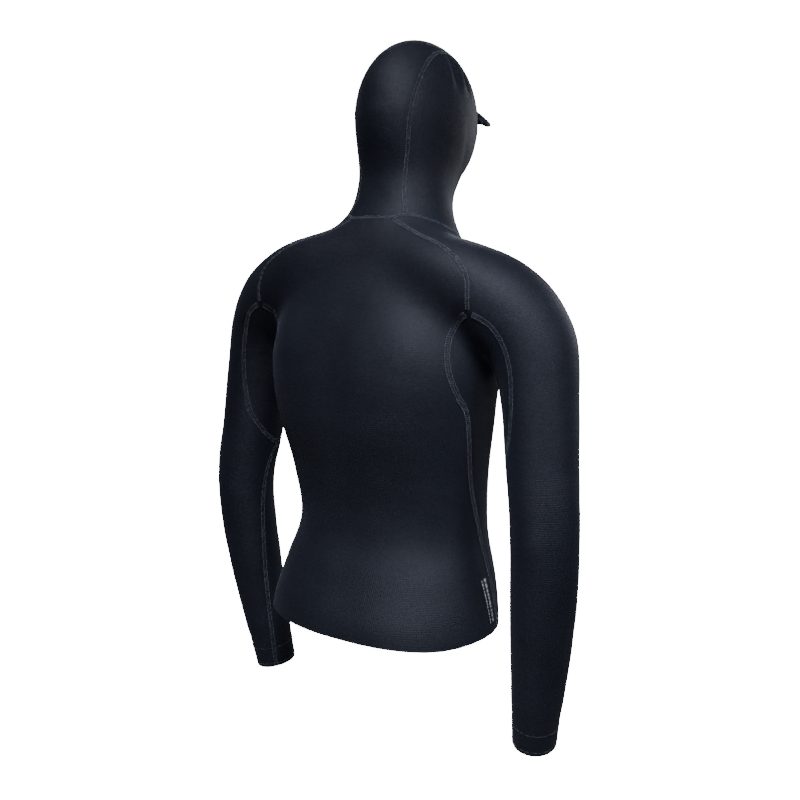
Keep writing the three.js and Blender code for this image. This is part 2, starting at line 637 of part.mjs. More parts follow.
for (const side of ["right", "left"]) {
  add(`${side}_underarm_panel`, onSide(side, underarmPanel), JERSEY);
  add(`${side}_upper_sleeve`, onSide(side, upperSleeve), JERSEY_SLEEVE);
  add(`${side}_forearm_sleeve`, onSide(side, forearmSleeve), JERSEY_SLEEVE);
  add(`${side}_cuff_seal`, onSide(side, sealGeometry()), SMOOTH_SKIN);
  add(`${side}_cuff_stitch`,
    onSide(side, ringGeometry(wristLine(CUFF_LENGTH - CUFF_LINE), boxSection(cuffLine))), STITCH);
  add(`${side}_back_raglan_stitch`, onSide(side, threadGeometry(raglanBack, NECK_CLEAR, RAGLAN_BACK_CLEAR)), STITCH);
  add(`${side}_front_raglan_stitch`,
    onSide(side, threadGeometry(raglanFront, NECK_CLEAR, RAGLAN_PIT_CLEAR)), STITCH);
  add(`${side}_back_side_stitch`, onSide(side, threadGeometry(sideBack, SIDE_PIT_CLEAR, GAP)), STITCH);
  add(`${side}_front_side_stitch`, onSide(side, threadGeometry(sideFront, SIDE_PIT_CLEAR, GAP)), STITCH);
  const around = joined(gussetBack, tipBackHalf, backwards(tipFrontHalf), backwards(gussetFront));
  add(`${side}_underarm_stitch`,
    onSide(side, threadGeometry(around, UNDERARM_PIT_CLEAR, UNDERARM_PIT_CLEAR)), STITCH);
  add(`${side}_inner_arm_stitch`, onSide(side, threadGeometry(closing, CROSSING + GAP * 2, GAP)), STITCH);
  add(`${side}_forearm_stitch`,
    onSide(side, threadGeometry(forearmClosing, GAP, CUFF_LENGTH + CUFF_LINE)), STITCH);
}

// ---- Hood ----
const hoodSide = {
  left: hoodSeam, right: backwards(chinSeam), bottom: backwards(faceEdge),
  top: joined(neck.side, neck.front),
};
const hoodSideGeometry = panelGeometry(fillGrid(hoodSide, across(hoodSide)));
add("hood_left_panel", onSide("left", hoodSideGeometry), JERSEY);
add("hood_right_panel", onSide("right", hoodSideGeometry), JERSEY);
const hoodCentre = {
  left: mirrored(hoodSeam), right: hoodSeam, bottom: browEdge,
  top: bothHalves(joined(neck.backHalf, neck.corner)),
};
add("hood_centre_panel", panelGeometry(fillGrid(hoodCentre, across(hoodCentre))), JERSEY);
const UNDER_VISOR = 20; // the hood's threads end where the visor is sewn on over them
for (const side of ["right", "left"]) {
  add(`hood_${side}_stitch`, onSide(side, threadGeometry(hoodSeam, UNDER_VISOR, CROSSING)), STITCH);
}
add("hood_chin_stitch", threadGeometry(chinSeam, CROSSING, GAP), STITCH);

const neckLoop = joined(
  neck.backHalf, neck.corner, neck.side, neck.front,
  backwards(mirrored(joined(neck.backHalf, neck.corner, neck.side, neck.front))),
).slice(0, -1);
add("neck_stitch", ringGeometry(neckLoop, boxSection(THREAD)), STITCH);
add("neck_seam_tape", ringGeometry(neckLoop, boxSection({
  low: -FOAM - TAPE_LIFT - TAPE_THICK, high: -FOAM - TAPE_LIFT,
  left: -NECK_TAPE_WIDTH / 2, right: NECK_TAPE_WIDTH / 2,
})), SMOOTH_SKIN);

// The face opening is bound by one folded strip that stands just outside the panels' edge.
const faceLoop = joined(faceEdge, backwards(browEdge), backwards(mirrored(faceEdge))).slice(0, -1);
const bindingOut = (BINDING_THICK - FOAM) / 2;
add("face_binding", ringGeometry(faceLoop, boxSection({
  low: -FOAM - bindingOut, high: bindingOut, left: -GAP / 2 - BINDING_WIDTH, right: -GAP / 2,
})), SMOOTH_SKIN);

// ---- Visor: a soft peak sewn on above the face opening, with a sheet of plastic in its pocket ----
const VISOR_STEPS = 12;
const VISOR_ROWS = 3;
const VISOR_REACH = 36; // from root to edge at the middle
const VISOR_END_REACH = 8; // and at both ends
const VISOR_DROOP = 0.62; // how much it leans down as it goes out
const VISOR_THICK = 5;
const VISOR_ROOT_CLEAR = 3; // from the hood to the middle of the peak's root
const VISOR_BORDER = 7; // from the peak's outline to its pocket
const INSERT_THICK = 1.6;
const visorRoot = seam([
  point(-56, -144, 139), point(-31, -167, 157), point(0, -174, 163), point(31, -167, 157), point(56, -144, 139),
], VISOR_STEPS);
const visorLength = visorRoot.slice(1).reduce((sum, p, i) => sum + p.distanceTo(visorRoot[i]), 0);
const visorRays = visorRoot.map((root, i) => {
  const u = (2 * i) / VISOR_STEPS - 1;
  const ray = normalAt(root);
  ray.z = 0;
  ray.normalize();
  ray.z = -VISOR_DROOP;
  return { root, ray: ray.normalize(), reach: THREE.MathUtils.lerp(VISOR_REACH, VISOR_END_REACH, u ** 4) };
});
const visorPoint = (u, out, height) => {
  const along = THREE.MathUtils.clamp(u, 0, 1) * VISOR_STEPS;
  const i = Math.min(Math.floor(along), VISOR_STEPS - 1);
  const [a, b] = [visorRays[i], visorRays[i + 1]];
  const f = along - i;
  const ray = mix(a.ray, b.ray, f).normalize();
  const upward = ray.clone().cross(b.root.clone().sub(a.root)).normalize();
  if (upward.z < 0) upward.negate();
  return mix(a.root, b.root, f).addScaledVector(ray, VISOR_ROOT_CLEAR + out).addScaledVector(upward, height);
};
const visorReach = (u) => {
  const along = THREE.MathUtils.clamp(u, 0, 1) * VISOR_STEPS;
  const i = Math.min(Math.floor(along), VISOR_STEPS - 1);
  return THREE.MathUtils.lerp(visorRays[i].reach, visorRays[i + 1].reach, along - i);
};
// A slab that follows the peak: inset from its outline, from a depth inside the root, this thick.
const visorSlab = ({ inset, from, thick }) => {
  const box = new THREE.BoxGeometry(1, 1, 1, VISOR_STEPS, VISOR_ROWS, 1);
  const edge = inset / visorLength;
  return geometryFrom(box, (x, y, z) => {
    const u = edge + (x + 0.5) * (1 - 2 * edge);
    const out = THREE.MathUtils.lerp(from, visorReach(u) - inset, y + 0.5);
    return visorPoint(u, out, z * thick);
  });
};
const wasm = await Module();
wasm.setup();
const solidOf = (geometry) => new wasm.Manifold(new wasm.Mesh({
  numProp: 3,
  vertProperties: new Float32Array(geometry.attributes.position.array),
  triVerts: new Uint32Array(geometry.index.array),
}));
const geometryOf = (solid) => {
  const mesh = solid.getMesh();
  const geometry = new THREE.BufferGeometry();
  geometry.setAttribute("position", new THREE.BufferAttribute(mesh.vertProperties, 3));
  geometry.setIndex(new THREE.BufferAttribute(mesh.triVerts, 1));
  return geometry;
};
const pocket = visorSlab({ inset: VISOR_BORDER, from: -VISOR_THICK, thick: INSERT_THICK + GAP * 2 });
const insert = visorSlab({ inset: VISOR_BORDER + GAP * 2, from: GAP * 2, thick: INSERT_THICK });
const cover = visorSlab({ inset: 0, from: 0, thick: VISOR_THICK });
add("visor_cover", geometryOf(solidOf(cover).subtract(solidOf(pocket))), JERSEY);
add("visor_stiffener", insert, INSERT);

// ---- Hem ----
const hemLoop = joined(
  hemBackHalf, hemSide, hemFrontHalf,
  backwards(mirrored(joined(hemBackHalf, hemSide, hemFrontHalf))),
).slice(0, -1);
const hemTapeTop = -FOAM - TAPE_LIFT - HEM_TAPE_SLACK;
add("hem_tape", ringGeometry(hemLoop, boxSection({
  low: hemTapeTop - TAPE_THICK, high: hemTapeTop,
  left: GAP, right: GAP + HEM_TAPE_WIDTH,
})), SMOOTH_SKIN);

export default garment;
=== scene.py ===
"""Hooded surf jacket in 2 mm neoprene: its panels, flatlock threads, binding, visor, tapes and finishes.

Lengths are written in millimetres, as a pattern cutter would, and turned to metres when a mesh is made.
+Z is up, the wearer faces -Y, and the wearer's left is +X.
"""

import math

import bmesh
import bpy
import numpy as np
from mathutils import Matrix, Vector, kdtree, noise


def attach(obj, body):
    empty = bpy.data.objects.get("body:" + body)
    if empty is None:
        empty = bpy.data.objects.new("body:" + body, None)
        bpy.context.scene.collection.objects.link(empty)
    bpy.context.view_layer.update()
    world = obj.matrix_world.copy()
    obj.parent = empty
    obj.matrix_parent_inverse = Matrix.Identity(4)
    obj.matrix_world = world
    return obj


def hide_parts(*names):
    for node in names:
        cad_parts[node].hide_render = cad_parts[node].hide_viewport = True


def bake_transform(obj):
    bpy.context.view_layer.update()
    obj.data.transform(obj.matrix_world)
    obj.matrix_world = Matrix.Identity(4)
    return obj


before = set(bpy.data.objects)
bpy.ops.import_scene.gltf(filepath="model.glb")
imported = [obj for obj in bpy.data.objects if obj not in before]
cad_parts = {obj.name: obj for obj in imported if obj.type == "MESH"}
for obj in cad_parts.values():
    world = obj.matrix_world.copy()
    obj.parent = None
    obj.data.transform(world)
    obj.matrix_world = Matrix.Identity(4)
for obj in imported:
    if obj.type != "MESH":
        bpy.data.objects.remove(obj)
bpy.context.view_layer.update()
bpy.ops.object.select_all(action="DESELECT")
MM = 0.001

# ---------------------------------------------------------------- camera
CAMERA_TURN = 36.1  # degrees from straight behind, towards the wearer's right
CAMERA_AWAY = 1429.1
CAMERA_HEIGHT = -47.4
CAMERA_YAW = -0.5
CAMERA_DOWN = 8.9
CAMERA_LENS = 44.35


def place_camera():
    turn, yaw, down = (math.radians(a) for a in (CAMERA_TURN, CAMERA_YAW, CAMERA_DOWN))
    spot = Vector((-math.sin(turn) * CAMERA_AWAY, math.cos(turn) * CAMERA_AWAY, CAMERA_HEIGHT)) * MM
    look = Vector((-spot.x, -spot.y, 0)).normalized()
    look.rotate(Matrix.Rotation(yaw, 3, "Z"))
    look = look * math.cos(down) + Vector((0, 0, -math.sin(down)))
    camera = bpy.data.objects.new("camera", bpy.data.cameras.new("camera"))
    camera.location = spot
    camera.rotation_euler = look.to_track_quat("-Z", "Y").to_euler()
    camera.data.lens = CAMERA_LENS
    camera.data.sensor_width = 36.0
    bpy.context.scene.collection.objects.link(camera)
    bpy.context.scene.camera = camera


place_camera()

# ---------------------------------------------------------------- the body form under the cloth
# Rows of the trunk: height, half width, back, front, squareness.
TRUNK = np.array([
    (-640, 184, 142, -88, 2.3),
    (-591, 183, 142, -94, 2.3),
    (-560, 178, 138, -102, 2.3),
    (-515, 167, 120, -104, 2.3),
    (-450, 151, 101, -104, 2.2),
    (-370, 151, 112, -102, 2.4),
    (-280, 164, 136, -102, 2.5),
    (-200, 169, 140, -109, 2.5),
    (-125, 152, 116, -110, 2.4),
    (-60, 114, 82, -90, 2.2),
    (0, 78, 46, -94, 2.0),
    (45, 67, 32, -116, 2.2),
    (90, 61, 30, -142, 2.4),
    (130, 52, 28, -148, 2.4),
], float)
SKULL_AT = np.array((0, -66, 136), float)
SKULL_RADII = np.array((77, 110, 108), float)
# Stations down the left arm: centre, radius across, radius from front to back.
ARM = np.array([
    (10, 30, -54, 22, 22),
    (104, 37, -77, 46, 53),
    (186, 18, -118, 58, 64),
    (232, 6, -170, 56, 63),
    (250, 12, -250, 50, 55),
    (260, 22, -335, 48, 48),
    (270, 30, -425, 47, 42),
    (264, 20, -550, 44, 40),
    (244, -4, -734, 30, 33),
], float)
ARM_MELT = 58.0
SKULL_MELT = 40.0
ELBOW = 6
WRIST = 8


def smooth_rows(z):
    heights, values = TRUNK[:, 0], TRUNK[:, 1:]
    slopes = np.empty_like(values)
    slopes[1:-1] = (values[2:] - values[:-2]) / (heights[2:] - heights[:-2])[:, None]
    slopes[0] = (values[1] - values[0]) / (heights[1] - heights[0])
    slopes[-1] = (values[-1] - values[-2]) / (heights[-1] - heights[-2])
    z = np.clip(z, heights[0], heights[-1])
    i = np.clip(np.searchsorted(heights, z, side="right") - 1, 0, len(heights) - 2)
    step = heights[i + 1] - heights[i]
    t = ((z - heights[i]) / step)[:, None]
    step = step[:, None]
    return ((2 * t**3 - 3 * t**2 + 1) * values[i] + (3 * t**2 - 2 * t**3) * values[i + 1]
            + (t**3 - 2 * t**2 + t) * step * slopes[i] + (t**3 - t**2) * step * slopes[i + 1])


def past_end(distance, over):
    return np.where(over > 0, np.hypot(np.maximum(distance, 0), over), distance)


def trunk_distance(p):
    half, back, front, square = smooth_rows(p[:, 2]).T
    x = np.abs(p[:, 0])
    y = np.abs(p[:, 1] - (back + front) / 2)
    size = ((x / half) ** square + (y / ((back - front) / 2)) ** square + 1e-9) ** (1 / square)
    return past_end(np.hypot(x, y) * (1 - 1 / size), p[:, 2] - TRUNK[-1, 0])


def skull_distance(p):
    q = p - SKULL_AT
    size = np.linalg.norm(q / SKULL_RADII, axis=1)
    return size * (size - 1) / (np.linalg.norm(q / SKULL_RADII**2, axis=1) + 1e-9)


def arm_values(station):
    """Centre and radii of the left arm at each station, on a smooth curve through ARM."""
    ends = np.vstack([2 * ARM[0] - ARM[1], ARM, 2 * ARM[-1] - ARM[-2]])
    station = np.atleast_1d(np.asarray(station, float))
    i = np.clip(station.astype(int), 0, len(ARM) - 2)
    f = (station - i)[:, None]
    a, b, c, d = ends[i], ends[i + 1], ends[i + 2], ends[i + 3]
    return (2 * b + (c - a) * f + (2 * a - 5 * b + 4 * c - d) * f**2 + (3 * b - a - 3 * c + d) * f**3) / 2


ARM_LINE_STEPS = 90
ARM_STATIONS = np.linspace(0, WRIST, ARM_LINE_STEPS)
ARM_LINE = arm_values(ARM_STATIONS)[:, :3]


def arm_frames(station):
    reach = WRIST / ARM_LINE_STEPS
    values = arm_values(station)
    low = arm_values(np.maximum(station - reach, 0))[:, :3]
    high = arm_values(np.minimum(station + reach, WRIST))[:, :3]
    along = high - low
    along /= np.linalg.norm(along, axis=1)[:, None]
    back = np.array((0, 1, 0)) - along * along[:, 1:2]
    back /= np.linalg.norm(back, axis=1)[:, None]
    return values, along, back, np.cross(along, back)


def arm_chart(p):
    """Station, angle from outward to back, relative radius, and reach of points beside the left arm."""
    gap = np.full(len(p), np.inf)
    station = np.zeros(len(p))
    for i in range(ARM_LINE_STEPS - 1):
        run = ARM_LINE[i + 1] - ARM_LINE[i]
        t = np.clip((p - ARM_LINE[i]) @ run / (run @ run), 0, 1)
        here = ((p - ARM_LINE[i] - t[:, None] * run) ** 2).sum(1)
        closer = here < gap
        gap[closer] = here[closer]
        station[closer] = ARM_STATIONS[i] + t[closer] * (ARM_STATIONS[1] - ARM_STATIONS[0])
    values, along, back, out = arm_frames(station)
    q = p - values[:, :3]
    side, rear = (q * out).sum(1), (q * back).sum(1)
    size = np.hypot(side / values[:, 3], rear / values[:, 4]) + 1e-9
    angle = np.arctan2(rear / values[:, 4], side / values[:, 3])
    return station, angle, size, (q * along).sum(1), np.hypot(side, rear)


def arm_point(station, angle, size=1.0):
    values, _, back, out = arm_frames(np.atleast_1d(np.asarray(station, float)))
    side = (np.cos(angle) * values[:, 3] * size)[:, None]
    rear = (np.sin(angle) * values[:, 4] * size)[:, None]
    return values[:, :3] + out * side + back * rear


def arm_distance(p):
    q = p.copy()
    q[:, 0] = np.abs(q[:, 0])
    station, _, size, along, reach = arm_chart(q)
    return past_end(reach * (1 - 1 / size), np.where(station <= 0, -along, 0))


def melt(a, b, size):
    share = np.maximum(size - np.abs(a - b), 0) / size
    return np.minimum(a, b) - share**3 * size / 6


def body_distance(p):
    return melt(melt(trunk_distance(p), arm_distance(p), ARM_MELT), skull_distance(p), SKULL_MELT)


CORNERS = np.array(((1, -1, -1), (-1, -1, 1), (-1, 1, -1), (1, 1, 1)), float)
SLOPE_STEP = 0.5


def slope_at(p):
    """Gradient of the body's distance, from four samples round each point."""
    p = np.asarray(p, float)
    samples = (p[None] + CORNERS[:, None] * SLOPE_STEP).reshape(-1, 3)
    values = body_distance(samples).reshape(4, -1)
    return (CORNERS[:, None] * values[:, :, None]).sum(0) / (4 * SLOPE_STEP)


def unit(v):
    return v / np.maximum(np.linalg.norm(v, axis=-1, keepdims=True), 1e-9)


def normal_at(p):
    return unit(slope_at(p))


def settle(p, rounds=4):
    """Moves points on to the body form."""
    p = np.array(p, float)
    shape = p.shape
    p = p.reshape(-1, 3)
    for _ in range(rounds):
        slope = slope_at(p)
        p -= slope * (body_distance(p) / np.maximum((slope**2).sum(1), 0.05))[:, None]
    return p.reshape(shape)


# ---------------------------------------------------------------- lines on the form
def spline(controls, closed=False, fine=40):
    """A centripetal curve through the points, as a dense polyline."""
    p = np.asarray(controls, float)
    if closed:
        p = np.vstack([p[-1], p, p[0], p[1]])
    else:
        p = np.vstack([2 * p[0] - p[1], p, 2 * p[-1] - p[-2]])
    out = []
    for k in range(len(p) - 3):
        a, b, c, d = p[k : k + 4]
        knots = np.cumsum([0] + [max(np.linalg.norm(v), 1e-6) ** 0.5 for v in (b - a, c - b, d - c)])
        t = np.linspace(knots[1], knots[2], fine, endpoint=False)[:, None]
        ab = (knots[1] - t) / (knots[1] - knots[0]) * a + (t - knots[0]) / (knots[1] - knots[0]) * b
        bc = (knots[2] - t) / (knots[2] - knots[1]) * b + (t - knots[1]) / (knots[2] - knots[1]) * c
        cd = (knots[3] - t) / (knots[3] - knots[2]) * c + (t - knots[2]) / (knots[3] - knots[2]) * d
        abc = (knots[2] - t) / (knots[2] - knots[0]) * ab + (t - knots[0]) / (knots[2] - knots[0]) * bc
        bcd = (knots[3] - t) / (knots[3] - knots[1]) * bc + (t - knots[1]) / (knots[3] - knots[1]) * cd
        out.append((knots[2] - t) / (knots[2] - knots[1]) * abc
                   + (t - knots[1]) / (knots[2] - knots[1]) * bcd)
    out.append(p[-2][None])
    return np.vstack(out)


def lengths(line):
    return np.concatenate([[0], np.cumsum(np.linalg.norm(np.diff(line, axis=0), axis=1))])


def even(line, steps):
    """The line cut into equal steps."""
    s = lengths(line)
    at = np.linspace(0, s[-1], steps + 1)
    return np.stack([np.interp(at, s, line[:, k]) for k in range(3)], 1)


def seam(controls, steps):
    return settle(even(settle(spline(settle(np.array(controls, float)))), steps))


def mirrored(line):
    return line * np.array((-1, 1, 1))


def chain(*lines):
    return np.vstack([lines[0]] + [line[1:] for line in lines[1:]])


# Steps along each seam, a few millimetres each, in multiples of FINE, which divides every panel's grid.
FINE = 4
STEPS = {"neck_back": 24, "neck_corner": 8, "neck_side": 36, "neck_front": 20, "raglan": 48, "side": 92,
         "gusset": 44, "tip": 12, "closing": 16, "forearm": 64, "hood": 88, "underarm": 32}
STEPS["face"] = STEPS["neck_side"] + STEPS["neck_front"]

neck_knots = np.array([
    (0, 49, -9), (33, 47, -8), (51, 36, -4), (77, 13, -14), (91, -11, -26), (84, -52, -42), (42, -86, -52),
    (0, -92, -56),
], float)
neck_ring = np.vstack([neck_knots, mirrored(neck_knots)[-2:0:-1]])
NECK_DENSE = 40
neck_curve = settle(spline(settle(neck_ring), closed=True, fine=NECK_DENSE))


def neck_part(first, last, steps):
    return settle(even(neck_curve[first * NECK_DENSE : last * NECK_DENSE + 1], steps))


neck_back = neck_part(0, 1, STEPS["neck_back"] // 2)
neck_corner = neck_part(1, 2, STEPS["neck_corner"])
neck_side = neck_part(2, 6, STEPS["neck_side"])
neck_front = neck_part(6, 7, STEPS["neck_front"])

HEM = -591
HEM_FRONT = -578
back_pit = settle(np.array([(181, 81, -130)], float))[0]
front_pit = settle(np.array([(166, -54, -142)], float))[0]
raglan_back = seam([neck_corner[0], (62, 50, -22), (98, 60, -38), (134, 68, -52), (160, 74, -68),
                    (176, 80, -86), back_pit], STEPS["raglan"])
raglan_front = seam([neck_front[0], (78, -78, -70), (120, -70, -96), (152, -60, -122), front_pit],
                    STEPS["raglan"])
side_back = seam([back_pit, (158, 72, -146), (149, 80, -174), (152, 84, -206), (159, 72, -241),
                  (163, 54, -266), (159, 40, -306), (150, 17, -381), (150, -5, -450),
                  (180, -14, HEM_FRONT - 6)], STEPS["side"])
side_front = seam([front_pit, (154, -62, -168), (152, -66, -215), (150, -60, -280), (142, -56, -370),
                   (140, -64, -450), (164, -62, HEM_FRONT)], STEPS["side"])
tip_back, tip_end, tip_front = settle(np.array([(218, 42, -335), (211, 10, -356), (214, -22, -332)], float))
gusset_back = seam([back_pit, (211, 76, -149), (229, 68, -186), (235, 66, -230), (229, 60, -300), tip_back],
                   STEPS["gusset"])
gusset_front = seam([front_pit, (192, -52, -156), (216, -50, -190), (226, -42, -240), (224, -34, -300),
                     tip_front], STEPS["gusset"])
TIP_LEAD = 8  # points of the gusset's seams that the tip's curve takes its direction from
TIP_DENSE = 40
tip_curve = spline(np.array([gusset_back[-TIP_LEAD], tip_back, tip_end, tip_front, gusset_front[-TIP_LEAD]]),
                   fine=TIP_DENSE)
tip_back_half = settle(even(tip_curve[TIP_DENSE : 2 * TIP_DENSE + 1], STEPS["tip"]))
tip_front_half = settle(even(tip_curve[2 * TIP_DENSE : 3 * TIP_DENSE + 1], STEPS["tip"]))[::-1]

CLOSING_ELBOW = math.radians(170)
CLOSING_WRIST = math.radians(135)


def closing_angle(station):
    return CLOSING_ELBOW + (CLOSING_WRIST - CLOSING_ELBOW) * (station - ELBOW) / (WRIST - ELBOW)


closing = seam([tip_end, arm_point(5.5, closing_angle(5.5))[0], arm_point(ELBOW, CLOSING_ELBOW)[0]],
               STEPS["closing"])
forearm_stations = np.linspace(ELBOW, WRIST, STEPS["forearm"] + 1)
forearm_closing = settle(arm_point(forearm_stations, closing_angle(forearm_stations)))

hem_back = seam([(0, 142, HEM), (70, 134, HEM), (140, 92, HEM), side_back[-1]], STEPS["neck_back"] // 2)
hem_side = seam([side_back[-1], (178, -40, HEM_FRONT), side_front[-1]], STEPS["underarm"])
hem_front = seam([side_front[-1], (90, -88, HEM_FRONT), (0, -96, HEM_FRONT)], STEPS["neck_front"])

brow, chin = settle(np.array([(44, -166, 149), (0, -114, 34)], float))
hood_seam = seam([brow, (45, -120, 212), (46, -56, 223), (50, -15, 200), (51, 5, 176), (50, 23, 134),
                  (43, 21, 82), (38, 20, 48), (41, 26, 20), neck_side[0]], STEPS["hood"])
chin_seam = seam([neck_front[-1], (0, -94, -10), chin], STEPS["hood"])
face_edge = seam([chin, (30, -114, 44), (50, -124, 72), (62, -138, 106), (58, -153, 134), brow],
                 STEPS["face"])
BROW_STEPS = 2 * STEPS["neck_corner"] + STEPS["neck_back"]
brow_edge = seam([mirrored(brow), (0, -174, 147), brow], BROW_STEPS)


# ---------------------------------------------------------------- panels, as grids of points on the form
def relax(grid, rounds, settling=2):
    """Evens out the inside of a grid. Close neighbours count for more than far ones."""
    for _ in range(rounds):
        south, north, west, east = grid[:-2, 1:-1], grid[2:, 1:-1], grid[1:-1, :-2], grid[1:-1, 2:]
        along = ((north - south) ** 2).sum(-1, keepdims=True)
        across = ((east - west) ** 2).sum(-1, keepdims=True)
        share = along / (along + across)
        grid[1:-1, 1:-1] = settle(((south + north) * (1 - share) + (west + east) * share) / 2, settling)
    return grid


def finer(grid, times):
    """A smooth finer grid through a coarse one, along its first direction."""
    ends = np.concatenate([2 * grid[:1] - grid[1:2], grid, 2 * grid[-1:] - grid[-2:-1]])
    at = np.linspace(0, len(grid) - 1, (len(grid) - 1) * times + 1)
    i = np.minimum(at.astype(int), len(grid) - 2)
    f = (at - i)[:, None, None]
    a, b, c, d = ends[i], ends[i + 1], ends[i + 2], ends[i + 3]
    return (2 * b + (c - a) * f + (2 * a - 5 * b + 4 * c - d) * f**2 + (3 * b - a - 3 * c + d) * f**3) / 2


def patch(left, right, bottom, top, guess=None):
    """Fills the space between four lines. left and right run from bottom to top, the others left to right."""
    rough = [line[::FINE] for line in (left, right, bottom, top)]
    l, r, b, t = rough
    v = np.linspace(0, 1, len(l))[:, None, None]
    u = np.linspace(0, 1, len(b))[None, :, None]
    grid = guess(u, v) if guess else l[:, None] * (1 - u) + r[:, None] * u
    grid = grid + (b - grid[0])[None] * (1 - v) ** 2 + (t - grid[-1])[None] * v**2
    grid = settle(grid, 4)
    grid[0], grid[-1], grid[:, 0], grid[:, -1] = b, t, l, r
    grid = relax(grid, 40)
    grid = finer(grid, FINE)
    grid = finer(grid.transpose(1, 0, 2), FINE).transpose(1, 0, 2)
    v = np.linspace(0, 1, len(left))[:, None, None]
    u = np.linspace(0, 1, len(bottom))[None, :, None]
    grid = grid + (left - grid[:, 0])[:, None] * (1 - u) + (right - grid[:, -1])[:, None] * u
    grid = grid + (bottom - grid[0])[None] * (1 - v) + (top - grid[-1])[None] * v
    grid = settle(grid, 2)
    grid[0], grid[-1], grid[:, 0], grid[:, -1] = bottom, top, left, right
    return relax(grid, 6, 1)


def both_halves(half):
    return chain(mirrored(half)[::-1], half)


def torso_grid(edge, neck_half, hem_half):
    return patch(mirrored(edge), edge, both_halves(neck_half), both_halves(hem_half))


back_grid = torso_grid(chain(raglan_back, side_back), neck_back, hem_back)
front_grid = torso_grid(chain(raglan_front, side_front), neck_front[::-1], hem_front[::-1])

underarm_left = chain(side_back[::-1], gusset_back)
underarm_right = chain(side_front[::-1], gusset_front)
spine = settle(spline(settle(np.array([
    (182, -40, HEM_FRONT), (150, -34, -450), (148, -22, -370), (160, 4, -280), (168, 8, -236), (184, 8, -210),
    (202, 8, -236), (210, 10, -280), tip_end], float)), fine=40))
PIT_SHARE = STEPS["side"] / (STEPS["side"] + STEPS["gusset"])
PIT_ON_SPINE = 5 / 8


def underarm_guess(u, v):
    share = v[:, 0, 0]
    along = np.where(share < PIT_SHARE, share / PIT_SHARE * PIT_ON_SPINE,
                     PIT_ON_SPINE + (share - PIT_SHARE) / (1 - PIT_SHARE) * (1 - PIT_ON_SPINE))
    at = along * (len(spine) - 1)
    middle = np.stack([np.interp(at, np.arange(len(spine)), spine[:, k]) for k in range(3)], 1)
    l, r = underarm_left[::FINE], underarm_right[::FINE]
    bow = (4 * u * (1 - u)) * (middle - (l + r) / 2)[:, None]
    return l[:, None] * (1 - u) + r[:, None] * u + bow


def tip_row():
    return chain(tip_back_half, tip_front_half[::-1])


TIP_TOP = 2 * STEPS["tip"]
underarm_grid = patch(underarm_left, underarm_right, even(hem_side, TIP_TOP), tip_row(), underarm_guess)

SLEEVE_AROUND = STEPS["neck_corner"] + STEPS["neck_side"]
sleeve_back = chain(raglan_back, gusset_back, tip_back_half, closing)
sleeve_front = chain(raglan_front, gusset_front, tip_front_half, closing)


def ring_round_arm(station):
    turn = np.linspace(0, 2 * math.pi, SLEEVE_AROUND + 1)
    return settle(arm_point(np.full(SLEEVE_AROUND + 1, station), closing_angle(station) - turn))


def sleeve_guess(u, v):
    charts = []
    for line, sign in ((sleeve_back[::FINE], 1), (sleeve_front[::FINE], -1)):
        station, angle, size, _, _ = arm_chart(line)
        angle = angle + 2 * math.pi * np.round((sign * 0.75 * math.pi - angle) / (2 * math.pi))
        charts.append((line, station, angle, size, arm_point(station, angle, size)))
    (l, *a), (r, *b) = charts
    w = u[..., 0]
    station, angle, size = (a[k][:, None] * (1 - w) + b[k][:, None] * w for k in range(3))
    grid = arm_point(station.ravel(), angle.ravel(), size.ravel()).reshape(*station.shape, 3)
    return grid + (l - a[3])[:, None] * (1 - u) + (r - b[3])[:, None] * u


upper_grid = patch(sleeve_back, sleeve_front, chain(neck_corner, neck_side), ring_round_arm(ELBOW),
                   sleeve_guess)
forearm_rings = np.stack([ring_round_arm(s) for s in forearm_stations])
forearm_rings[0] = upper_grid[-1]
sleeve_grid = np.concatenate([upper_grid, forearm_rings[1:]])
CUT_ROW = STEPS["raglan"] + STEPS["gusset"] + STEPS["tip"]  # the row that meets the gusset's tip

hood_side_grid = patch(hood_seam, chin_seam[::-1], face_edge[::-1], chain(neck_side, neck_front))
hood_centre_grid = patch(mirrored(hood_seam), hood_seam, brow_edge,
                         both_halves(chain(neck_back, neck_corner)))

# ---------------------------------------------------------------- relief: folds, pulls and pinched seams
SEAM_LINES = [neck_back, neck_corner, neck_side, neck_front, raglan_back, raglan_front, side_back, side_front,
              gusset_back, gusset_front, tip_back_half, tip_front_half, closing, forearm_closing,
              hood_seam, chin_seam]
PINCH = 0.7  # how far a seam sinks into the foam
PINCH_WIDTH = 4.5
CALM_WIDTH = 14  # a seam holds the cloth flat about this far to each side
WAVES = ((48, 0.9), (21, 0.28))  # length and height of the unevenness between the seams


def seam_tree():
    points = np.vstack([even(line, max(int(lengths(line)[-1] / 1.5), 2)) for line in SEAM_LINES])
    points = np.vstack([points, mirrored(points)])
    tree = kdtree.KDTree(len(points))
    for k, p in enumerate(points):
        tree.insert(p, k)
    tree.balance()
    return tree


seams_near = seam_tree()


def fold(points, width, height):
    """A soft ridge (or hollow, if height is negative) along a line of points, fading at both ends."""
    return settle(spline(np.array(points, float), fine=8), 3), width, height


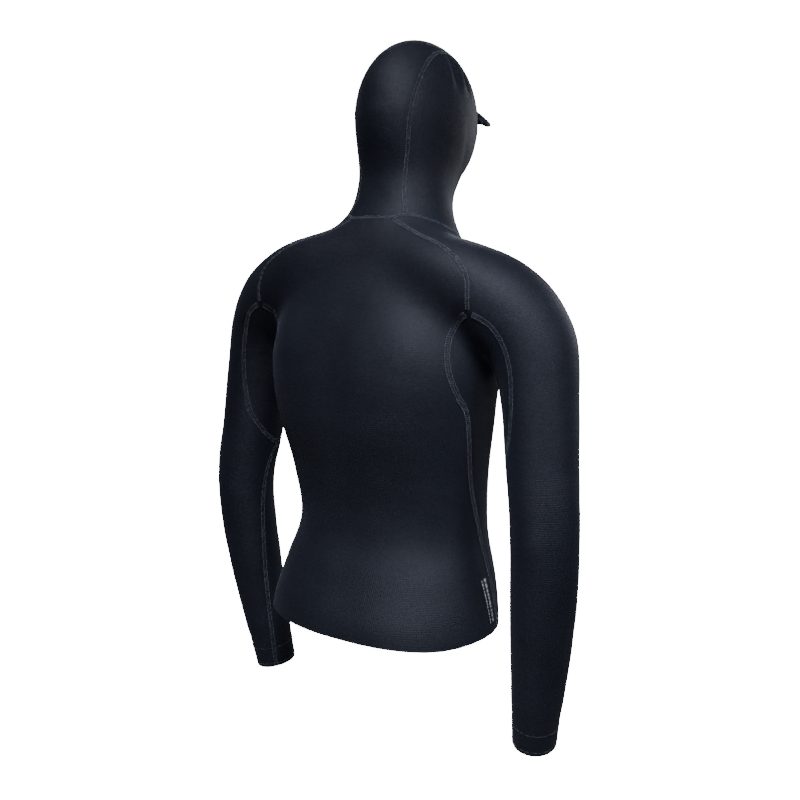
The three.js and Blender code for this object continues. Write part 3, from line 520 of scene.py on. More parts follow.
# Folds on both arms are written for the left side and mirrored; the others are written where they are.
BOTH_SIDES = [
    # pulls that run out of the hollow under the arm
    fold([(176, 66, -176), (184, 52, -190), (192, 34, -204)], 4.2, 3.0),
    fold([(170, 64, -186), (178, 48, -200), (186, 28, -214)], 3.2, -2.2),
    fold([(188, 66, -180), (194, 50, -196), (200, 34, -210)], 3.4, -2.4),
    fold([(198, 64, -186), (202, 48, -202), (206, 32, -216)], 4.0, 1.6),
    fold([(150, 82, -96), (170, 82, -116), (186, 80, -142), (196, 74, -178), (204, 64, -206)], 15, 3.0),
    # creases at the front of the elbow
    fold([(240, -6, -404), (262, -12, -414), (290, -6, -410)], 7, -1.1),
    fold([(238, -4, -428), (262, -12, -438), (292, -4, -430)], 7, -1.0),
    fold([(242, -8, -418), (262, -13, -426), (288, -8, -421)], 6, 0.9),
    # soft bulge over the point of the elbow
    fold([(250, 68, -420), (270, 72, -432), (292, 62, -424)], 22, 1.6),
    # a low ring where the sleeve settles above the cuff
    fold([(222, 20, -664), (240, 34, -660), (268, 20, -664)], 12, 0.7),
    fold([(220, 10, -690), (244, 30, -686), (272, 8, -690)], 9, -0.5),
    # gathers in front of the hood's seam, near the crown
    fold([(55, -94, 214), (66, -92, 190), (72, -92, 166)], 5.6, -3.2),
    fold([(54, -82, 217), (66, -78, 194), (73, -76, 170)], 5.6, 3.0),
    fold([(54, -70, 218), (66, -64, 195), (73, -60, 172)], 5.6, -3.2),
    fold([(55, -58, 216), (67, -50, 194), (74, -46, 172)], 5.6, 2.6),
    fold([(56, -46, 212), (67, -38, 190), (73, -34, 170)], 5, -0.8),
    # the line where the hood turns from the cheek to the neck
    fold([(74, -84, 110), (70, -86, 70), (66, -84, 36), (68, -78, 10)], 9, -1.2),
    # shoulder blade
    fold([(92, 110, -120), (100, 124, -170), (92, 132, -214)], 38, 3.4),
]
ON_CENTRE = [
    # furrow of the spine
    fold([(0, 116, -140), (0, 128, -175), (0, 134, -210), (0, 122, -320), (0, 102, -440), (0, 124, -530)],
         26, -3.0),
    # slack folds across the small of the back
    fold([(-70, 98, -420), (-20, 104, -436), (40, 104, -428)], 15, 1.0),
    fold([(-90, 92, -462), (-30, 102, -474), (50, 101, -466)], 14, -0.9),
    fold([(-40, 108, -496), (20, 112, -500), (80, 104, -486)], 16, 0.8),
]


def fold_height(p, folds):
    total = np.zeros(len(p))
    for line, width, height in folds:
        reach = width * 3
        low, high = line.min(0) - reach, line.max(0) + reach
        near = np.flatnonzero(((p > low) & (p < high)).all(1))
        if not len(near):
            continue
        q = p[near]
        best = np.full(len(q), np.inf)
        where = np.zeros(len(q))
        for k in range(len(line) - 1):
            run = line[k + 1] - line[k]
            t = np.clip((q - line[k]) @ run / (run @ run), 0, 1)
            d = ((q - line[k] - t[:, None] * run) ** 2).sum(1)
            closer = d < best
            best[closer] = d[closer]
            where[closer] = (k + t[closer]) / (len(line) - 1)
        fade = np.sin(np.pi * np.clip(where, 0.04, 0.96)) ** 0.7
        total[near] += height * fade * np.exp(-best / width**2)
    return total


def relief(p):
    """How far the cloth stands off the form, in mm."""
    left = p * np.array((1, 1, 1))
    left[:, 0] = np.abs(left[:, 0])
    height = fold_height(left, BOTH_SIDES) + fold_height(p, ON_CENTRE)
    gaps = np.array([seams_near.find(q)[2] for q in p])
    height -= PINCH * np.exp(-(gaps / PINCH_WIDTH) ** 2)
    calm = 1 - np.exp(-(gaps / CALM_WIDTH) ** 2)
    waves = np.array([sum(noise.noise(Vector(q) / long) * tall for long, tall in WAVES) for q in p])
    return height + waves * calm


def lifted(grid, height=0.0):
    """Points of a grid on the real cloth: the form plus its relief, and a height above it."""
    flat = grid.reshape(-1, 3)
    normals = normal_at(flat)
    raised = flat + normals * (relief(flat) + height)[:, None]
    return raised.reshape(grid.shape), normals.reshape(grid.shape)


# ---------------------------------------------------------------- finishes
def linear(code):
    """An sRGB hex colour as the linear numbers that a shader takes."""
    parts = [int(code[k : k + 2], 16) / 255 for k in (1, 3, 5)]
    return (*[c / 12.92 if c <= 0.04045 else ((c + 0.055) / 1.055) ** 2.4 for c in parts], 1.0)


def node(tree, kind, settings=None, **links):
    """Adds a node, sets its properties and inputs, and joins other nodes' outputs to its inputs."""
    new = tree.nodes.new(kind)
    for key, value in (settings or {}).items():
        if isinstance(key, str) and hasattr(new, key):
            setattr(new, key, value)
        else:
            new.inputs[key].default_value = value
    for key, output in links.items():
        numbered = key[0] == "i" and key[1:].isdigit()
        tree.links.new(output, new.inputs[int(key[1:]) if numbered else key.replace("_", " ")])
    return new


def start_material(name):
    material = bpy.data.materials.new(name)
    material.use_nodes = True
    tree = material.node_tree
    tree.nodes.clear()
    shader = node(tree, "ShaderNodeBsdfPrincipled")
    node(tree, "ShaderNodeOutputMaterial", None, Surface=shader.outputs["BSDF"])
    return material, tree, shader


KNIT_PITCH = 3.0  # mm between wales; a real jersey's, about 0.5 mm, are too fine to show at this distance
KNIT_SCALE = 1000 / KNIT_PITCH * math.tau / 20  # a wave texture repeats every tau / 20 at scale 1


def jersey(name, dark, light, roughness=0.56, sheen=0.1):
    """Nylon jersey laminated on foam: fine knit ribs with a low satin bloom and slightly uneven dye."""
    material, tree, shader = start_material(name)
    uv = node(tree, "ShaderNodeUVMap", {"uv_map": "cloth"})
    place = node(tree, "ShaderNodeTexCoord")
    cloudy = node(tree, "ShaderNodeTexNoise", {"Scale": 9.0, "Detail": 4.0, "Roughness": 0.6},
                  Vector=place.outputs["Object"])
    grain = node(tree, "ShaderNodeTexNoise", {"Scale": 420.0, "Detail": 3.0, "Roughness": 0.7},
                 Vector=place.outputs["Object"])
    wales, courses = (node(tree, "ShaderNodeTexWave",
                           {"wave_type": "BANDS", "bands_direction": way, "Scale": KNIT_SCALE,
                            "Distortion": 0.6, "Detail": 1.0}, Vector=uv.outputs["UV"]) for way in "XY")
    knit = node(tree, "ShaderNodeMath", {"operation": "MULTIPLY"}, i0=wales.outputs["Fac"],
                i1=courses.outputs["Fac"])
    mix = node(tree, "ShaderNodeMath", {"operation": "MULTIPLY_ADD", 1: 0.55, 2: -0.08},
               i0=cloudy.outputs["Fac"])
    speck = node(tree, "ShaderNodeMath", {"operation": "MULTIPLY_ADD", 1: 1.1}, i0=grain.outputs["Fac"],
                 i2=mix.outputs[0])
    tone = node(tree, "ShaderNodeValToRGB", None, Fac=speck.outputs[0])
    tone.color_ramp.elements[0].position = 0.45
    tone.color_ramp.elements[0].color = linear(dark)
    tone.color_ramp.elements[1].position = 1.0
    tone.color_ramp.elements[1].color = linear(light)
    rough = node(tree, "ShaderNodeMath", {"operation": "MULTIPLY_ADD", 1: 0.16, 2: roughness - 0.08},
                 i0=cloudy.outputs["Fac"])
    height = node(tree, "ShaderNodeMath", {"operation": "MULTIPLY_ADD", 1: 0.6}, i0=knit.outputs[0],
                  i2=grain.outputs["Fac"])
    bump = node(tree, "ShaderNodeBump", {"Strength": 0.5, "Distance": 0.0008}, Height=height.outputs[0])
    tree.links.new(tone.outputs["Color"], shader.inputs["Base Color"])
    tree.links.new(rough.outputs[0], shader.inputs["Roughness"])
    tree.links.new(bump.outputs["Normal"], shader.inputs["Normal"])
    shader.inputs["IOR"].default_value = 1.5
    shader.inputs["Specular IOR Level"].default_value = 0.3
    shader.inputs["Specular Tint"].default_value = linear("#dde2f2")
    shader.inputs["Sheen Weight"].default_value = sheen
    shader.inputs["Sheen Roughness"].default_value = 0.45
    shader.inputs["Sheen Tint"].default_value = linear("#a2a9c2")
    return material


def thread_finish(name, colour):
    """Twisted polyester thread: a soft shine along each strand."""
    material, tree, shader = start_material(name)
    place = node(tree, "ShaderNodeTexCoord")
    twist = node(tree, "ShaderNodeTexNoise", {"Scale": 900.0, "Detail": 2.0}, Vector=place.outputs["Object"])
    tone = node(tree, "ShaderNodeValToRGB", None, Fac=twist.outputs["Fac"])
    tone.color_ramp.elements[0].position = 0.3
    tone.color_ramp.elements[0].color = linear(colour[0])
    tone.color_ramp.elements[1].position = 0.75
    tone.color_ramp.elements[1].color = linear(colour[1])
    bump = node(tree, "ShaderNodeBump", {"Strength": 0.3, "Distance": 0.0002}, Height=twist.outputs["Fac"])
    tree.links.new(tone.outputs["Color"], shader.inputs["Base Color"])
    tree.links.new(bump.outputs["Normal"], shader.inputs["Normal"])
    shader.inputs["Roughness"].default_value = 0.5
    shader.inputs["Sheen Weight"].default_value = 0.2
    return material


def rubber_finish(name, dark, light, roughness):
    """Smooth-skin neoprene: closed rubber skin with fine pores and a dull shine."""
    material, tree, shader = start_material(name)
    place = node(tree, "ShaderNodeTexCoord")
    pores = node(tree, "ShaderNodeTexVoronoi", {"Scale": 700.0}, Vector=place.outputs["Object"])
    smear = node(tree, "ShaderNodeTexNoise", {"Scale": 40.0, "Detail": 3.0}, Vector=place.outputs["Object"])
    tone = node(tree, "ShaderNodeValToRGB", None, Fac=smear.outputs["Fac"])
    tone.color_ramp.elements[0].position = 0.3
    tone.color_ramp.elements[0].color = linear(dark)
    tone.color_ramp.elements[1].position = 0.8
    tone.color_ramp.elements[1].color = linear(light)
    rough = node(tree, "ShaderNodeMath", {"operation": "MULTIPLY_ADD", 1: 0.2, 2: roughness - 0.1},
                 i0=smear.outputs["Fac"])
    bump = node(tree, "ShaderNodeBump", {"Strength": 0.15, "Distance": 0.0003},
                Height=pores.outputs["Distance"])
    tree.links.new(tone.outputs["Color"], shader.inputs["Base Color"])
    tree.links.new(rough.outputs[0], shader.inputs["Roughness"])
    tree.links.new(bump.outputs["Normal"], shader.inputs["Normal"])
    return material


JERSEY = jersey("nylon_jersey_on_foam", "#0b0c11", "#191c25")
SLEEVE_JERSEY = jersey("nylon_jersey_sleeve", "#0b0c11", "#1a1d27")
LINING = jersey("nylon_jersey_lining", "#14161a", "#1d2025", 0.7, 0.1)
FOAM_EDGE = rubber_finish("cut_neoprene_foam", "#0b0c0e", "#15171a", 0.75)
SMOOTH_SKIN = rubber_finish("smooth_skin_neoprene", "#0a0b0d", "#121417", 0.42)
THREAD = thread_finish("polyester_thread", ("#2b333d", "#5b6774"))
SHEET = rubber_finish("polyethylene_sheet", "#1f2226", "#2b2f34", 0.5)
PRINT = rubber_finish("heat_transfer_print", "#b4b9c0", "#cfd4da", 0.5)


# ---------------------------------------------------------------- meshes
def make_object(name, verts, faces, materials, uvs=None):
    mesh = bpy.data.meshes.new(name)
    mesh.from_pydata((np.asarray(verts) * MM).tolist(), [], faces)
    if uvs is not None:
        layer = mesh.uv_layers.new(name="cloth")
        corners = np.empty(len(mesh.loops), dtype=np.int32)
        mesh.loops.foreach_get("vertex_index", corners)
        layer.data.foreach_set("uv", (np.asarray(uvs)[corners] * MM).ravel().astype(np.float32))
    for material in materials:
        mesh.materials.append(material)
    mesh.polygons.foreach_set("use_smooth", [True] * len(mesh.polygons))
    mesh.update()
    piece = bpy.data.objects.new(name, mesh)
    bpy.context.scene.collection.objects.link(piece)
    return piece


def select_only(piece):
    bpy.ops.object.select_all(action="DESELECT")
    piece.select_set(True)
    bpy.context.view_layer.objects.active = piece


def face_outwards(piece):
    bm = bmesh.new()
    bm.from_mesh(piece.data)
    bmesh.ops.recalc_face_normals(bm, faces=bm.faces)
    bm.to_mesh(piece.data)
    bm.free()


def apply_modifiers(piece):
    select_only(piece)
    for modifier in list(piece.modifiers):
        bpy.ops.object.modifier_apply(modifier=modifier.name)


FOAM = 2.0
EDGE_ANGLE = math.radians(50)


def panel_piece(name, grid, materials, mirror=False):
    """A panel of foam with jersey on both faces: its outer face lies on the cloth's surface."""
    outer, _ = lifted(grid)
    if mirror:
        outer = mirrored(outer)
    rows, columns = outer.shape[:2]
    index = np.arange(rows * columns).reshape(rows, columns)
    a, b, c, d = index[:-1, :-1], index[:-1, 1:], index[1:, 1:], index[1:, :-1]
    faces = np.stack([a, b, c, d], -1).reshape(-1, 4)
    middle = grid[rows // 2, columns // 2][None]
    east = outer[rows // 2, columns // 2 + 1] - outer[rows // 2, columns // 2]
    north = outer[rows // 2 + 1, columns // 2] - outer[rows // 2, columns // 2]
    outward = normal_at(middle)[0] * (np.array((-1, 1, 1)) if mirror else 1)
    if np.cross(east, north) @ outward < 0:
        faces = faces[:, ::-1]
    along = lengths(grid[:, columns // 2])
    across = np.stack([lengths(row) for row in grid])
    across = across - across[:, -1:] / 2
    uvs = np.stack([across, np.repeat(along[:, None], columns, 1)], -1).reshape(-1, 2)
    piece = make_object(name, outer.reshape(-1, 3), faces.tolist(), materials, uvs)
    solid = piece.modifiers.new("foam", "SOLIDIFY")
    solid.thickness = FOAM * MM
    solid.offset = -1
    solid.material_offset = 1
    solid.material_offset_rim = 2
    apply_modifiers(piece)
    bpy.ops.object.shade_smooth_by_angle(angle=EDGE_ANGLE)
    return piece


SIDES = (("left", False), ("right", True))
CLOTH = [JERSEY, LINING, FOAM_EDGE]
SLEEVE_CLOTH = [SLEEVE_JERSEY, LINING, FOAM_EDGE]


def bend_shoulder(piece, side, mirror):
    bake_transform(piece)


def bend_elbow(piece, side, mirror):
    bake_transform(piece)


def bend_neck(piece):
    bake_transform(piece)


def cut_panel(name, stands_for, grid, cloth, mirror=False):
    """A panel in place of the node that it stands for, in its finish."""
    piece = panel_piece(name, grid, cloth, mirror)
    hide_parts(stands_for)
    return piece


for name, grid in (("back_panel", back_grid), ("front_panel", front_grid)):
    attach(cut_panel(f"{name}_cloth", name, grid, CLOTH), "torso")

for side, mirror in SIDES:
    underarm = cut_panel(f"{side}_underarm_cloth", f"{side}_underarm_panel", underarm_grid, CLOTH,
                         mirror)
    bend_shoulder(underarm, side, mirror)
    upper = cut_panel(f"{side}_upper_sleeve_cloth", f"{side}_upper_sleeve", sleeve_grid[: CUT_ROW + 1],
                      SLEEVE_CLOTH, mirror)
    bend_shoulder(upper, side, mirror)
    lower = cut_panel(f"{side}_forearm_sleeve_cloth", f"{side}_forearm_sleeve", sleeve_grid[CUT_ROW:],
                      SLEEVE_CLOTH, mirror)
    bend_elbow(lower, side, mirror)
    bend_neck(cut_panel(f"hood_{side}_cloth", f"hood_{side}_panel", hood_side_grid, CLOTH, mirror))
bend_neck(cut_panel("hood_centre_cloth", "hood_centre_panel", hood_centre_grid, CLOTH))

# ---------------------------------------------------------------- threads
STITCH = 3.2  # length of one stitch
BAND = 7.0  # from outer row to outer row
THREAD_ACROSS = 0.55  # drawn thick enough to show; the real thread is about 0.3 mm
# Strands: thickness as a share of THREAD_ACROSS, and height as a share of thickness.
CROSSING = (0.62, 0.8)
LOOP = (1.5, 0.8)
LOCK = (1.0, 0.9)
# Each stitch dips into the cloth at its ends: places as shares of its length, and heights above the cloth.
LOOP_AT = np.array((0.2, 0.36, 0.64, 0.8))
LOOP_RISE = np.array((-0.25, 0.6, 0.6, -0.25))
LOCK_AT = np.array((0.08, 0.3, 0.7, 0.92))
LOCK_RISE = np.array((-0.3, 0.4, 0.4, -0.3))
CROSSING_REACH = 0.86  # share of the way to the loops
CROSSING_LOW = 0.25  # its height where it turns
CROSSING_HIGH = 0.62  # its height over the middle of the seam
RIBBON_STEP = 2.0


class Ribbon:
    """The cloth beside a line. A point on it is found by length along and distance across."""

    def __init__(self, line, closed=False, half=BAND / 2):
        if closed and np.linalg.norm(line[0] - line[-1]) > 1e-6:
            line = np.vstack([line, line[:1]])
        steps = max(int(lengths(line)[-1] / RIBBON_STEP), 4)
        centre = even(line, steps)
        if closed:
            run = np.roll(centre[:-1], -1, 0) - np.roll(centre[:-1], 1, 0)
            run = np.vstack([run, run[:1]])
        else:
            run = np.gradient(centre, axis=0)
        normal = normal_at(centre)
        across = unit(np.cross(unit(run), normal))
        rows = []
        for share in (-1, 0, 1):
            foot = settle(centre + across * half * share, 2)
            up = normal_at(foot)
            rows.append((foot + up * relief(foot)[:, None], up))
        self.rows = rows
        self.half = half
        self.s = lengths(centre)
        self.length = self.s[-1]

    def at(self, s, across, height):
        s = np.asarray(s, float)
        w = np.asarray(across, float) / self.half
        low, middle, high = ([np.stack([np.interp(s, self.s, part[:, k]) for k in range(3)], 1)
                              for part in row] for row in self.rows)
        a, b, c = (w * (w - 1) / 2)[:, None], (1 - w * w)[:, None], (w * (w + 1) / 2)[:, None]
        spot = low[0] * a + middle[0] * b + high[0] * c
        up = unit(low[1] * a + middle[1] * b + high[1] * c)
        return spot + up * np.asarray(height, float)[:, None], up


def thread_tube(centre, up, strand):
    """A four-sided strand along a line of points."""
    thick, flat = strand
    run = unit(np.gradient(centre, axis=0))
    side = unit(np.cross(run, up))
    top = np.cross(side, run)
    half = THREAD_ACROSS * thick / 2
    corners = np.stack([centre + side * half, centre + top * half * flat, centre - side * half,
                        centre - top * half * flat], 1)
    count = len(centre)
    verts = corners.reshape(-1, 3)
    faces = []
    for k in range(count - 1):
        for j in range(4):
            faces.append((4 * k + j, 4 * k + (j + 1) % 4, 4 * k + 4 + (j + 1) % 4, 4 * k + 4 + j))
    faces.append((3, 2, 1, 0))
    last = 4 * (count - 1)
    faces.append((last, last + 1, last + 2, last + 3))
    return verts, faces


def gather(parts):
    verts, faces, start = [], [], 0
    for v, f in parts:
        verts.append(v)
        faces += [tuple(i + start for i in face) for face in f]
        start += len(v)
    return np.vstack(verts), faces


def flatlock(ribbon, skip=(2.0, 2.0), half=BAND / 2):
    """Two rows of loops and a thread that crosses between them."""
    length = ribbon.length - sum(skip)
    count = max(int(length / STITCH), 2)
    pitch = length / count
    parts = []
    cross_s = skip[0] + np.arange(count * 2 + 1) * pitch / 2
    sign = np.where(np.arange(count * 2 + 1) % 2 == 0, 1.0, -1.0)
    mids_s = (cross_s[:-1] + cross_s[1:]) / 2
    all_s = np.empty(len(cross_s) + len(mids_s))
    all_s[0::2], all_s[1::2] = cross_s, mids_s
    all_w = np.empty_like(all_s)
    all_w[0::2], all_w[1::2] = sign * half * CROSSING_REACH, 0.0
    all_h = np.empty_like(all_s)
    all_h[0::2], all_h[1::2] = CROSSING_LOW, CROSSING_HIGH
    centre, up = ribbon.at(all_s, all_w, all_h)
    parts.append(thread_tube(centre, up, CROSSING))
    for offset in (-half, half):
        k = np.arange(count)
        s = (skip[0] + (k[:, None] + LOOP_AT[None]) * pitch).ravel()
        h = np.tile(LOOP_RISE, count)
        centre, up = ribbon.at(s, np.full(len(s), offset), h)
        for first in range(0, len(s), 4):
            parts.append(thread_tube(centre[first : first + 4], up[first : first + 4], LOOP))
    return gather(parts)


def lockstitch(ribbon, offset=0.0, skip=(1.0, 1.0), pitch=STITCH):
    """One row of short stitches."""
    length = ribbon.length - sum(skip)
    count = max(int(length / pitch), 2)
    pitch = length / count
    s = (skip[0] + (np.arange(count)[:, None] + LOCK_AT[None]) * pitch).ravel()
    h = np.tile(LOCK_RISE, count)
    centre, up = ribbon.at(s, np.full(len(s), offset), h)
    return gather([thread_tube(centre[k : k + 4], up[k : k + 4], LOCK) for k in range(0, len(s), 4)])


def thread_piece(name, made, mirror=False):
    verts, faces = made
    if mirror:
        verts = mirrored(verts)
        faces = [face[::-1] for face in faces]
    piece = make_object(name, verts, faces, [THREAD])
    return piece


PIT_ROOM = 6
back_raglan = flatlock(Ribbon(raglan_back), (5, 3), 2.4)
front_raglan = flatlock(Ribbon(raglan_front), (5, 3), 2.4)
back_side = flatlock(Ribbon(side_back), (PIT_ROOM, 1))
front_side = flatlock(Ribbon(side_front), (PIT_ROOM, 1))
round_gusset = chain(gusset_back, tip_back_half, tip_front_half[::-1], gusset_front[::-1])
gusset_threads = flatlock(Ribbon(round_gusset), (PIT_ROOM, PIT_ROOM), 2.9)
closing_threads = flatlock(Ribbon(closing), (5, 0), 2.6)
forearm_threads = flatlock(Ribbon(forearm_closing), (0, 1), 2.6)
hood_threads = flatlock(Ribbon(hood_seam), (26, 5), 2.3)
CUFF_LINE_AT = 34
CUFF_EDGE_AT = 6
wrist_length = np.linalg.norm(arm_values(WRIST)[0, :3] - arm_values(WRIST - 0.5)[0, :3]) * 2


def round_wrist(from_end):
    return ring_round_arm(WRIST - from_end / wrist_length)[:-1]


cuff_threads = gather([
    lockstitch(Ribbon(round_wrist(CUFF_LINE_AT), True), 0, (0, 0)),
    lockstitch(Ribbon(round_wrist(CUFF_EDGE_AT), True), 0, (0, 0)),
])


def with_torso(piece, side, mirror):
    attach(piece, "torso")


def with_forearm(piece, side, mirror):
    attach(piece, f"{side}_forearm")


def with_neck(piece, side, mirror):
    bend_neck(piece)


# Threads sewn on both sides: the piece, the node that it stands for, its stitches, and how it moves.
PAIRED_THREADS = [
    ("{}_back_raglan_thread", "{}_back_raglan_stitch", back_raglan, with_torso),
    ("{}_front_raglan_thread", "{}_front_raglan_stitch", front_raglan, with_torso),
    ("{}_back_side_thread", "{}_back_side_stitch", back_side, bend_shoulder),
    ("{}_front_side_thread", "{}_front_side_stitch", front_side, bend_shoulder),
    ("{}_gusset_thread", "{}_underarm_stitch", gusset_threads, bend_shoulder),
    ("{}_inner_arm_thread", "{}_inner_arm_stitch", closing_threads, bend_elbow),
    ("{}_forearm_thread", "{}_forearm_stitch", forearm_threads, bend_elbow),
    ("{}_cuff_thread", "{}_cuff_stitch", cuff_threads, with_forearm),
    ("hood_{}_thread", "hood_{}_stitch", hood_threads, with_neck),
]
for side, mirror in SIDES:
    for name, stands_for, made, moves in PAIRED_THREADS:
        piece = thread_piece(name.format(side), made, mirror)
        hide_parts(stands_for.format(side))
        moves(piece, side, mirror)
piece = thread_piece("hood_chin_thread", flatlock(Ribbon(chin_seam), (5, 3)))
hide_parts("hood_chin_stitch")
bend_neck(piece)
neck_half_ring = chain(neck_back, neck_corner, neck_side, neck_front)
neck_loop = chain(neck_half_ring, mirrored(neck_half_ring)[::-1])[:-1]
piece = thread_piece("neck_thread", flatlock(Ribbon(neck_loop, True), (0, 0), 1.5))
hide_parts("neck_stitch")
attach(piece, "torso")


# ---------------------------------------------------------------- a plain mark of dashes by the right hip
MARK_FROM, MARK_TO = 0.03, 0.15  # share of the side seam's length, up from the hem
MARK_ROWS = ((17.0, 5.0), (25.0, 2.6))  # distance from the seam and breadth
MARK_SEED = 7
MARK_LIFT = 0.12


def mark_mesh():
    line = side_back[::-1]
    rng = np.random.default_rng(MARK_SEED)
    parts = []
    for away, broad in MARK_ROWS:
        ribbon = Ribbon(line, half=away)
        start, stop = ribbon.length * MARK_FROM, ribbon.length * MARK_TO
        while start < stop:
            dash = float(rng.uniform(1.6, 4.4)) * (0.6 + broad / 5)
            s = np.linspace(start, start + dash, 4)
            inner, _ = ribbon.at(s, np.full(4, away - broad / 2), np.full(4, MARK_LIFT))
            outer, _ = ribbon.at(s, np.full(4, away + broad / 2), np.full(4, MARK_LIFT))
            verts = np.concatenate([inner, outer])
            parts.append((verts, [(k, k + 1, k + 5, k + 4) for k in range(3)]))
            start += dash + float(rng.uniform(1.0, 1.8))
    return gather(parts)


mark_verts, mark_faces = mark_mesh()
mark = make_object("hip_mark", mirrored(mark_verts), mark_faces, [PRINT])
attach(mark, "torso")


# ---------------------------------------------------------------- bands: tapes, seals and binding
def swept(name, rings, material):
    """A closed band through rings of corners, one ring at each step along it."""
    count, corners = rings.shape[:2]
    faces = []
    for k in range(count):
        for j in range(corners):
            ahead, beside = (k + 1) % count * corners, (j + 1) % corners
            faces.append((k * corners + j, k * corners + beside, ahead + beside, ahead + j))
    piece = make_object(name, rings.reshape(-1, 3), faces, [material])
    face_outwards(piece)
    select_only(piece)
    bpy.ops.object.shade_smooth_by_angle(angle=EDGE_ANGLE)
    return piece


def band_ring(name, line, profile):
    """Sweeps a profile of (across, height) points round a closed line on the form."""
    run = np.roll(line, -1, 0) - np.roll(line, 1, 0)
    across = unit(np.cross(unit(run), normal_at(line)))
    rings = []
    for side, height in profile:
        foot = settle(line + across * side, 3)
        rings.append(foot + normal_at(foot) * (relief(foot) + height)[:, None])
    return swept(name, np.stack(rings, 1), SMOOTH_SKIN)


def rounded(width_low, width_high, low, high, power, corners):
    middle, half = (width_low + width_high) / 2, (width_high - width_low) / 2
    centre, tall = (low + high) / 2, (high - low) / 2
    out = []
    for k in range(corners):
        angle = 2 * math.pi * (k + 0.5) / corners
        c, s = math.cos(angle), math.sin(angle)
        scale = (abs(c) ** power + abs(s) ** power) ** (-1 / power)
        out.append((middle + half * c * scale, centre + tall * s * scale))
    return out


TAPE_TOP = -FOAM - 0.5
TAPE_THICK = 0.8
# Sections: from and to across the line, from and to above the cloth, squareness, corners.
BINDING = (-5.2, 1.2, -FOAM - 0.75, 0.75, 4, 16)
HEM_TAPE = (0.5, 13, TAPE_TOP - TAPE_THICK, TAPE_TOP, 6, 12)
NECK_TAPE = (-6.5, 6.5, TAPE_TOP - TAPE_THICK, TAPE_TOP, 6, 12)
face_loop = chain(face_edge, brow_edge[::-1], mirrored(face_edge)[::-1])[:-1]
hem_half = chain(hem_back, hem_side, hem_front)
hem_loop = chain(hem_half, mirrored(hem_half)[::-1])[:-1]
for name, stands_for, line, section, body in (
        ("face_binding_strip", "face_binding", face_loop, BINDING, "hood"),
        ("hem_tape_strip", "hem_tape", hem_loop, HEM_TAPE, "torso"),
        ("neck_tape_strip", "neck_seam_tape", neck_loop, NECK_TAPE, "torso")):
    band = band_ring(name, line, rounded(*section))
    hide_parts(stands_for)
    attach(band, body)

SEAL_FROM, SEAL_TO = 0.6, 34


def seal_rings(mirror):
    low = TAPE_TOP - TAPE_THICK
    rings = []
    for from_end, height in ((SEAL_FROM, TAPE_TOP), (SEAL_TO, TAPE_TOP), (SEAL_TO, low), (SEAL_FROM, low)):
        line = round_wrist(from_end)
        rings.append(line + normal_at(line) * (relief(line) + height)[:, None])
    return np.stack(rings, 1) * (np.array((-1, 1, 1)) if mirror else 1)


for side, mirror in SIDES:
    seal = swept(f"{side}_cuff_seal_skin", seal_rings(mirror), SMOOTH_SKIN)
    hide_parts(f"{side}_cuff_seal")
    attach(seal, f"{side}_forearm")

# ---------------------------------------------------------------- visor
VISOR_ROOT = seam([(-56, -144, 139), (-31, -167, 157), (0, -174, 163), (31, -167, 157), (56, -144, 139)], 48)
VISOR_REACH = 36.0
VISOR_END_REACH = 8.0
VISOR_DROOP = 0.62
VISOR_THICK = 6.4
VISOR_ROWS = 14
VISOR_CURL = 4.0
ROOT_SINK = 0.6


def visor_grid(height):
    rays = normal_at(VISOR_ROOT)
    rays[:, 2] = 0
    rays = unit(rays)
    rays[:, 2] = -VISOR_DROOP
    rays = unit(rays)
    u = np.linspace(-1, 1, len(VISOR_ROOT))
    reach = VISOR_REACH + (VISOR_END_REACH - VISOR_REACH) * u**4
    up = unit(np.cross(rays, np.gradient(VISOR_ROOT, axis=0)))
    up *= np.sign(up[:, 2:3])
    t = np.linspace(0, 1, VISOR_ROWS + 1)
    grid = VISOR_ROOT[None] + rays[None] * (ROOT_SINK + 1.0 + t[:, None] * (reach[None] - 3))[..., None]
    grid[..., 2] -= VISOR_CURL * t[:, None] ** 2
    rim = np.minimum(reach[None] * (1 - t[:, None]), VISOR_THICK / 2) / (VISOR_THICK / 2)
    ends = np.minimum((1 - np.abs(u)) * 58, VISOR_THICK / 2 * 1.4) / (VISOR_THICK / 2 * 1.4)
    thin = np.sqrt(np.clip(1 - (1 - rim) ** 2, 0, 1)) * np.sqrt(np.clip(1 - (1 - ends[None]) ** 2, 0, 1))
    return grid + up[None] * (height * np.maximum(thin, 0.06))[..., None]


def visor_piece():
    top = visor_grid(VISOR_THICK / 2)
    bottom = visor_grid(-VISOR_THICK / 2)
    rows, columns = top.shape[:2]
    verts = np.concatenate([top.reshape(-1, 3), bottom.reshape(-1, 3)])
    index = np.arange(rows * columns).reshape(rows, columns)
    under = index + rows * columns
    faces = []
    for j in range(rows - 1):
        for i in range(columns - 1):
            faces.append((index[j, i], index[j, i + 1], index[j + 1, i + 1], index[j + 1, i]))
            faces.append((under[j + 1, i], under[j + 1, i + 1], under[j, i + 1], under[j, i]))
    border = [index[0, i] for i in range(columns)] + [index[j, -1] for j in range(1, rows)]
    border += [index[-1, i] for i in range(columns - 2, -1, -1)]
    border += [index[j, 0] for j in range(rows - 2, 0, -1)]
    for k, a in enumerate(border):
        b = border[(k + 1) % len(border)]
        faces.append((b, a, a + rows * columns, b + rows * columns))
    uvs = np.concatenate([(top - top[0, 0])[..., :2].reshape(-1, 2)] * 2)
    piece = make_object("visor_cloth", verts, [tuple(int(i) for i in f) for f in faces], [JERSEY], uvs)
    face_outwards(piece)
    return piece


visor = visor_piece()
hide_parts("visor_cover")
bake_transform(visor)

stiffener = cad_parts["visor_stiffener"]
stiffener.data.materials.clear()
stiffener.data.materials.append(SHEET)

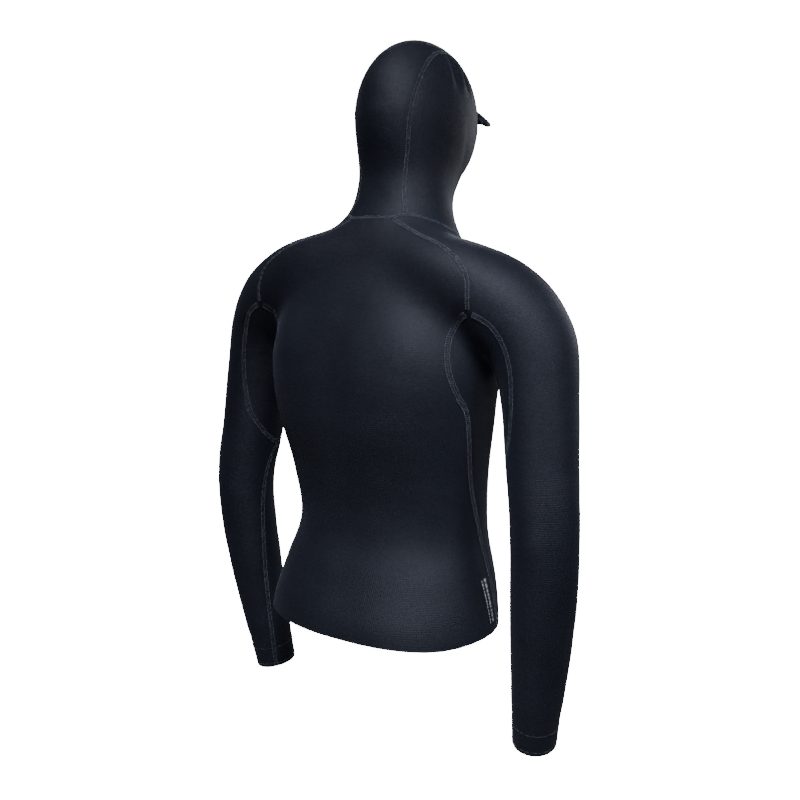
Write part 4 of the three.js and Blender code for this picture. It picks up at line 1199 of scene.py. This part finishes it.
# ---------------------------------------------------------------- floor, lights and surroundings
FLOOR_Z = -0.9
AMBIENT = 0.028
SEEN_FLOOR = 24.0  # brightness that the camera sees, so that the ground stays white
SEEN_WORLD = 20.0
SEEN_SHARE = 0.85
LAMP_COLOUR = "#f6f8ff"
# Lamps, in metres: name, place, aim, size, watts, spread in degrees.
LAMPS = (
    ("key", (-0.8, 1.15, 1.3), (-0.16, 0.05, -0.26), (0.7, 0.7), 4.6, 50),
    ("side", (-1.7, 0.5, 0.6), (-0.3, 0, -0.14), (0.5, 0.5), 1.0, 40),
    ("top", (0.15, 0.55, 1.6), (0, 0, -0.1), (1.0, 0.8), 2.6, 90),
    ("low", (-0.35, 1.7, -0.1), (-0.08, 0.1, -0.58), (0.5, 0.3), 0.9, 40),
    ("front", (1.3, -1.9, 0.9), (0, 0, -0.2), (1.0, 1.0), 4, 90),
    ("front_low", (-0.5, -2.4, 0.3), (0, 0, -0.3), (1.2, 1.0), 3, 90),
)


def lamp(name, spot, aim, size, power, spread):
    data = bpy.data.lights.new(name, "AREA")
    data.shape = "RECTANGLE"
    data.size, data.size_y = size
    data.energy = power
    data.color = linear(LAMP_COLOUR)[:3]
    data.spread = math.radians(spread)
    light = bpy.data.objects.new(name, data)
    light.location = spot
    light.rotation_euler = (Vector(aim) - Vector(spot)).to_track_quat("-Z", "Y").to_euler()
    bpy.context.scene.collection.objects.link(light)


def studio():
    bpy.ops.mesh.primitive_plane_add(size=40, location=(0, 0, FLOOR_Z))
    floor = bpy.context.active_object
    floor.name = "floor"
    material, tree, shader = start_material("pale_floor_paint")
    shader.inputs["Base Color"].default_value = linear("#6a6a6a")
    shader.inputs["Roughness"].default_value = 0.9
    end = tree.nodes["Material Output"]
    sight = node(tree, "ShaderNodeLightPath")
    share = node(tree, "ShaderNodeMath", {"operation": "MULTIPLY", 1: SEEN_SHARE},
                 i0=sight.outputs["Is Camera Ray"])
    bright = node(tree, "ShaderNodeEmission", {"Color": linear("#ffffff"), "Strength": SEEN_FLOOR})
    both = node(tree, "ShaderNodeMixShader", None, Fac=share.outputs[0], i1=shader.outputs[0],
                i2=bright.outputs[0])
    tree.links.new(both.outputs[0], end.inputs["Surface"])
    floor.data.materials.append(material)
    world = bpy.context.scene.world or bpy.data.worlds.new("studio")
    bpy.context.scene.world = world
    world.use_nodes = True
    tree = world.node_tree
    tree.nodes.clear()
    path = node(tree, "ShaderNodeLightPath")
    dim = node(tree, "ShaderNodeBackground", {"Color": linear("#dfe4ee"), "Strength": AMBIENT})
    white = node(tree, "ShaderNodeBackground", {"Color": linear("#ffffff"), "Strength": SEEN_WORLD})
    both = node(tree, "ShaderNodeMixShader", None, Fac=path.outputs["Is Camera Ray"], i1=dim.outputs[0],
                i2=white.outputs[0])
    node(tree, "ShaderNodeOutputWorld", None, Surface=both.outputs[0])

    for values in LAMPS:
        lamp(*values)


studio()
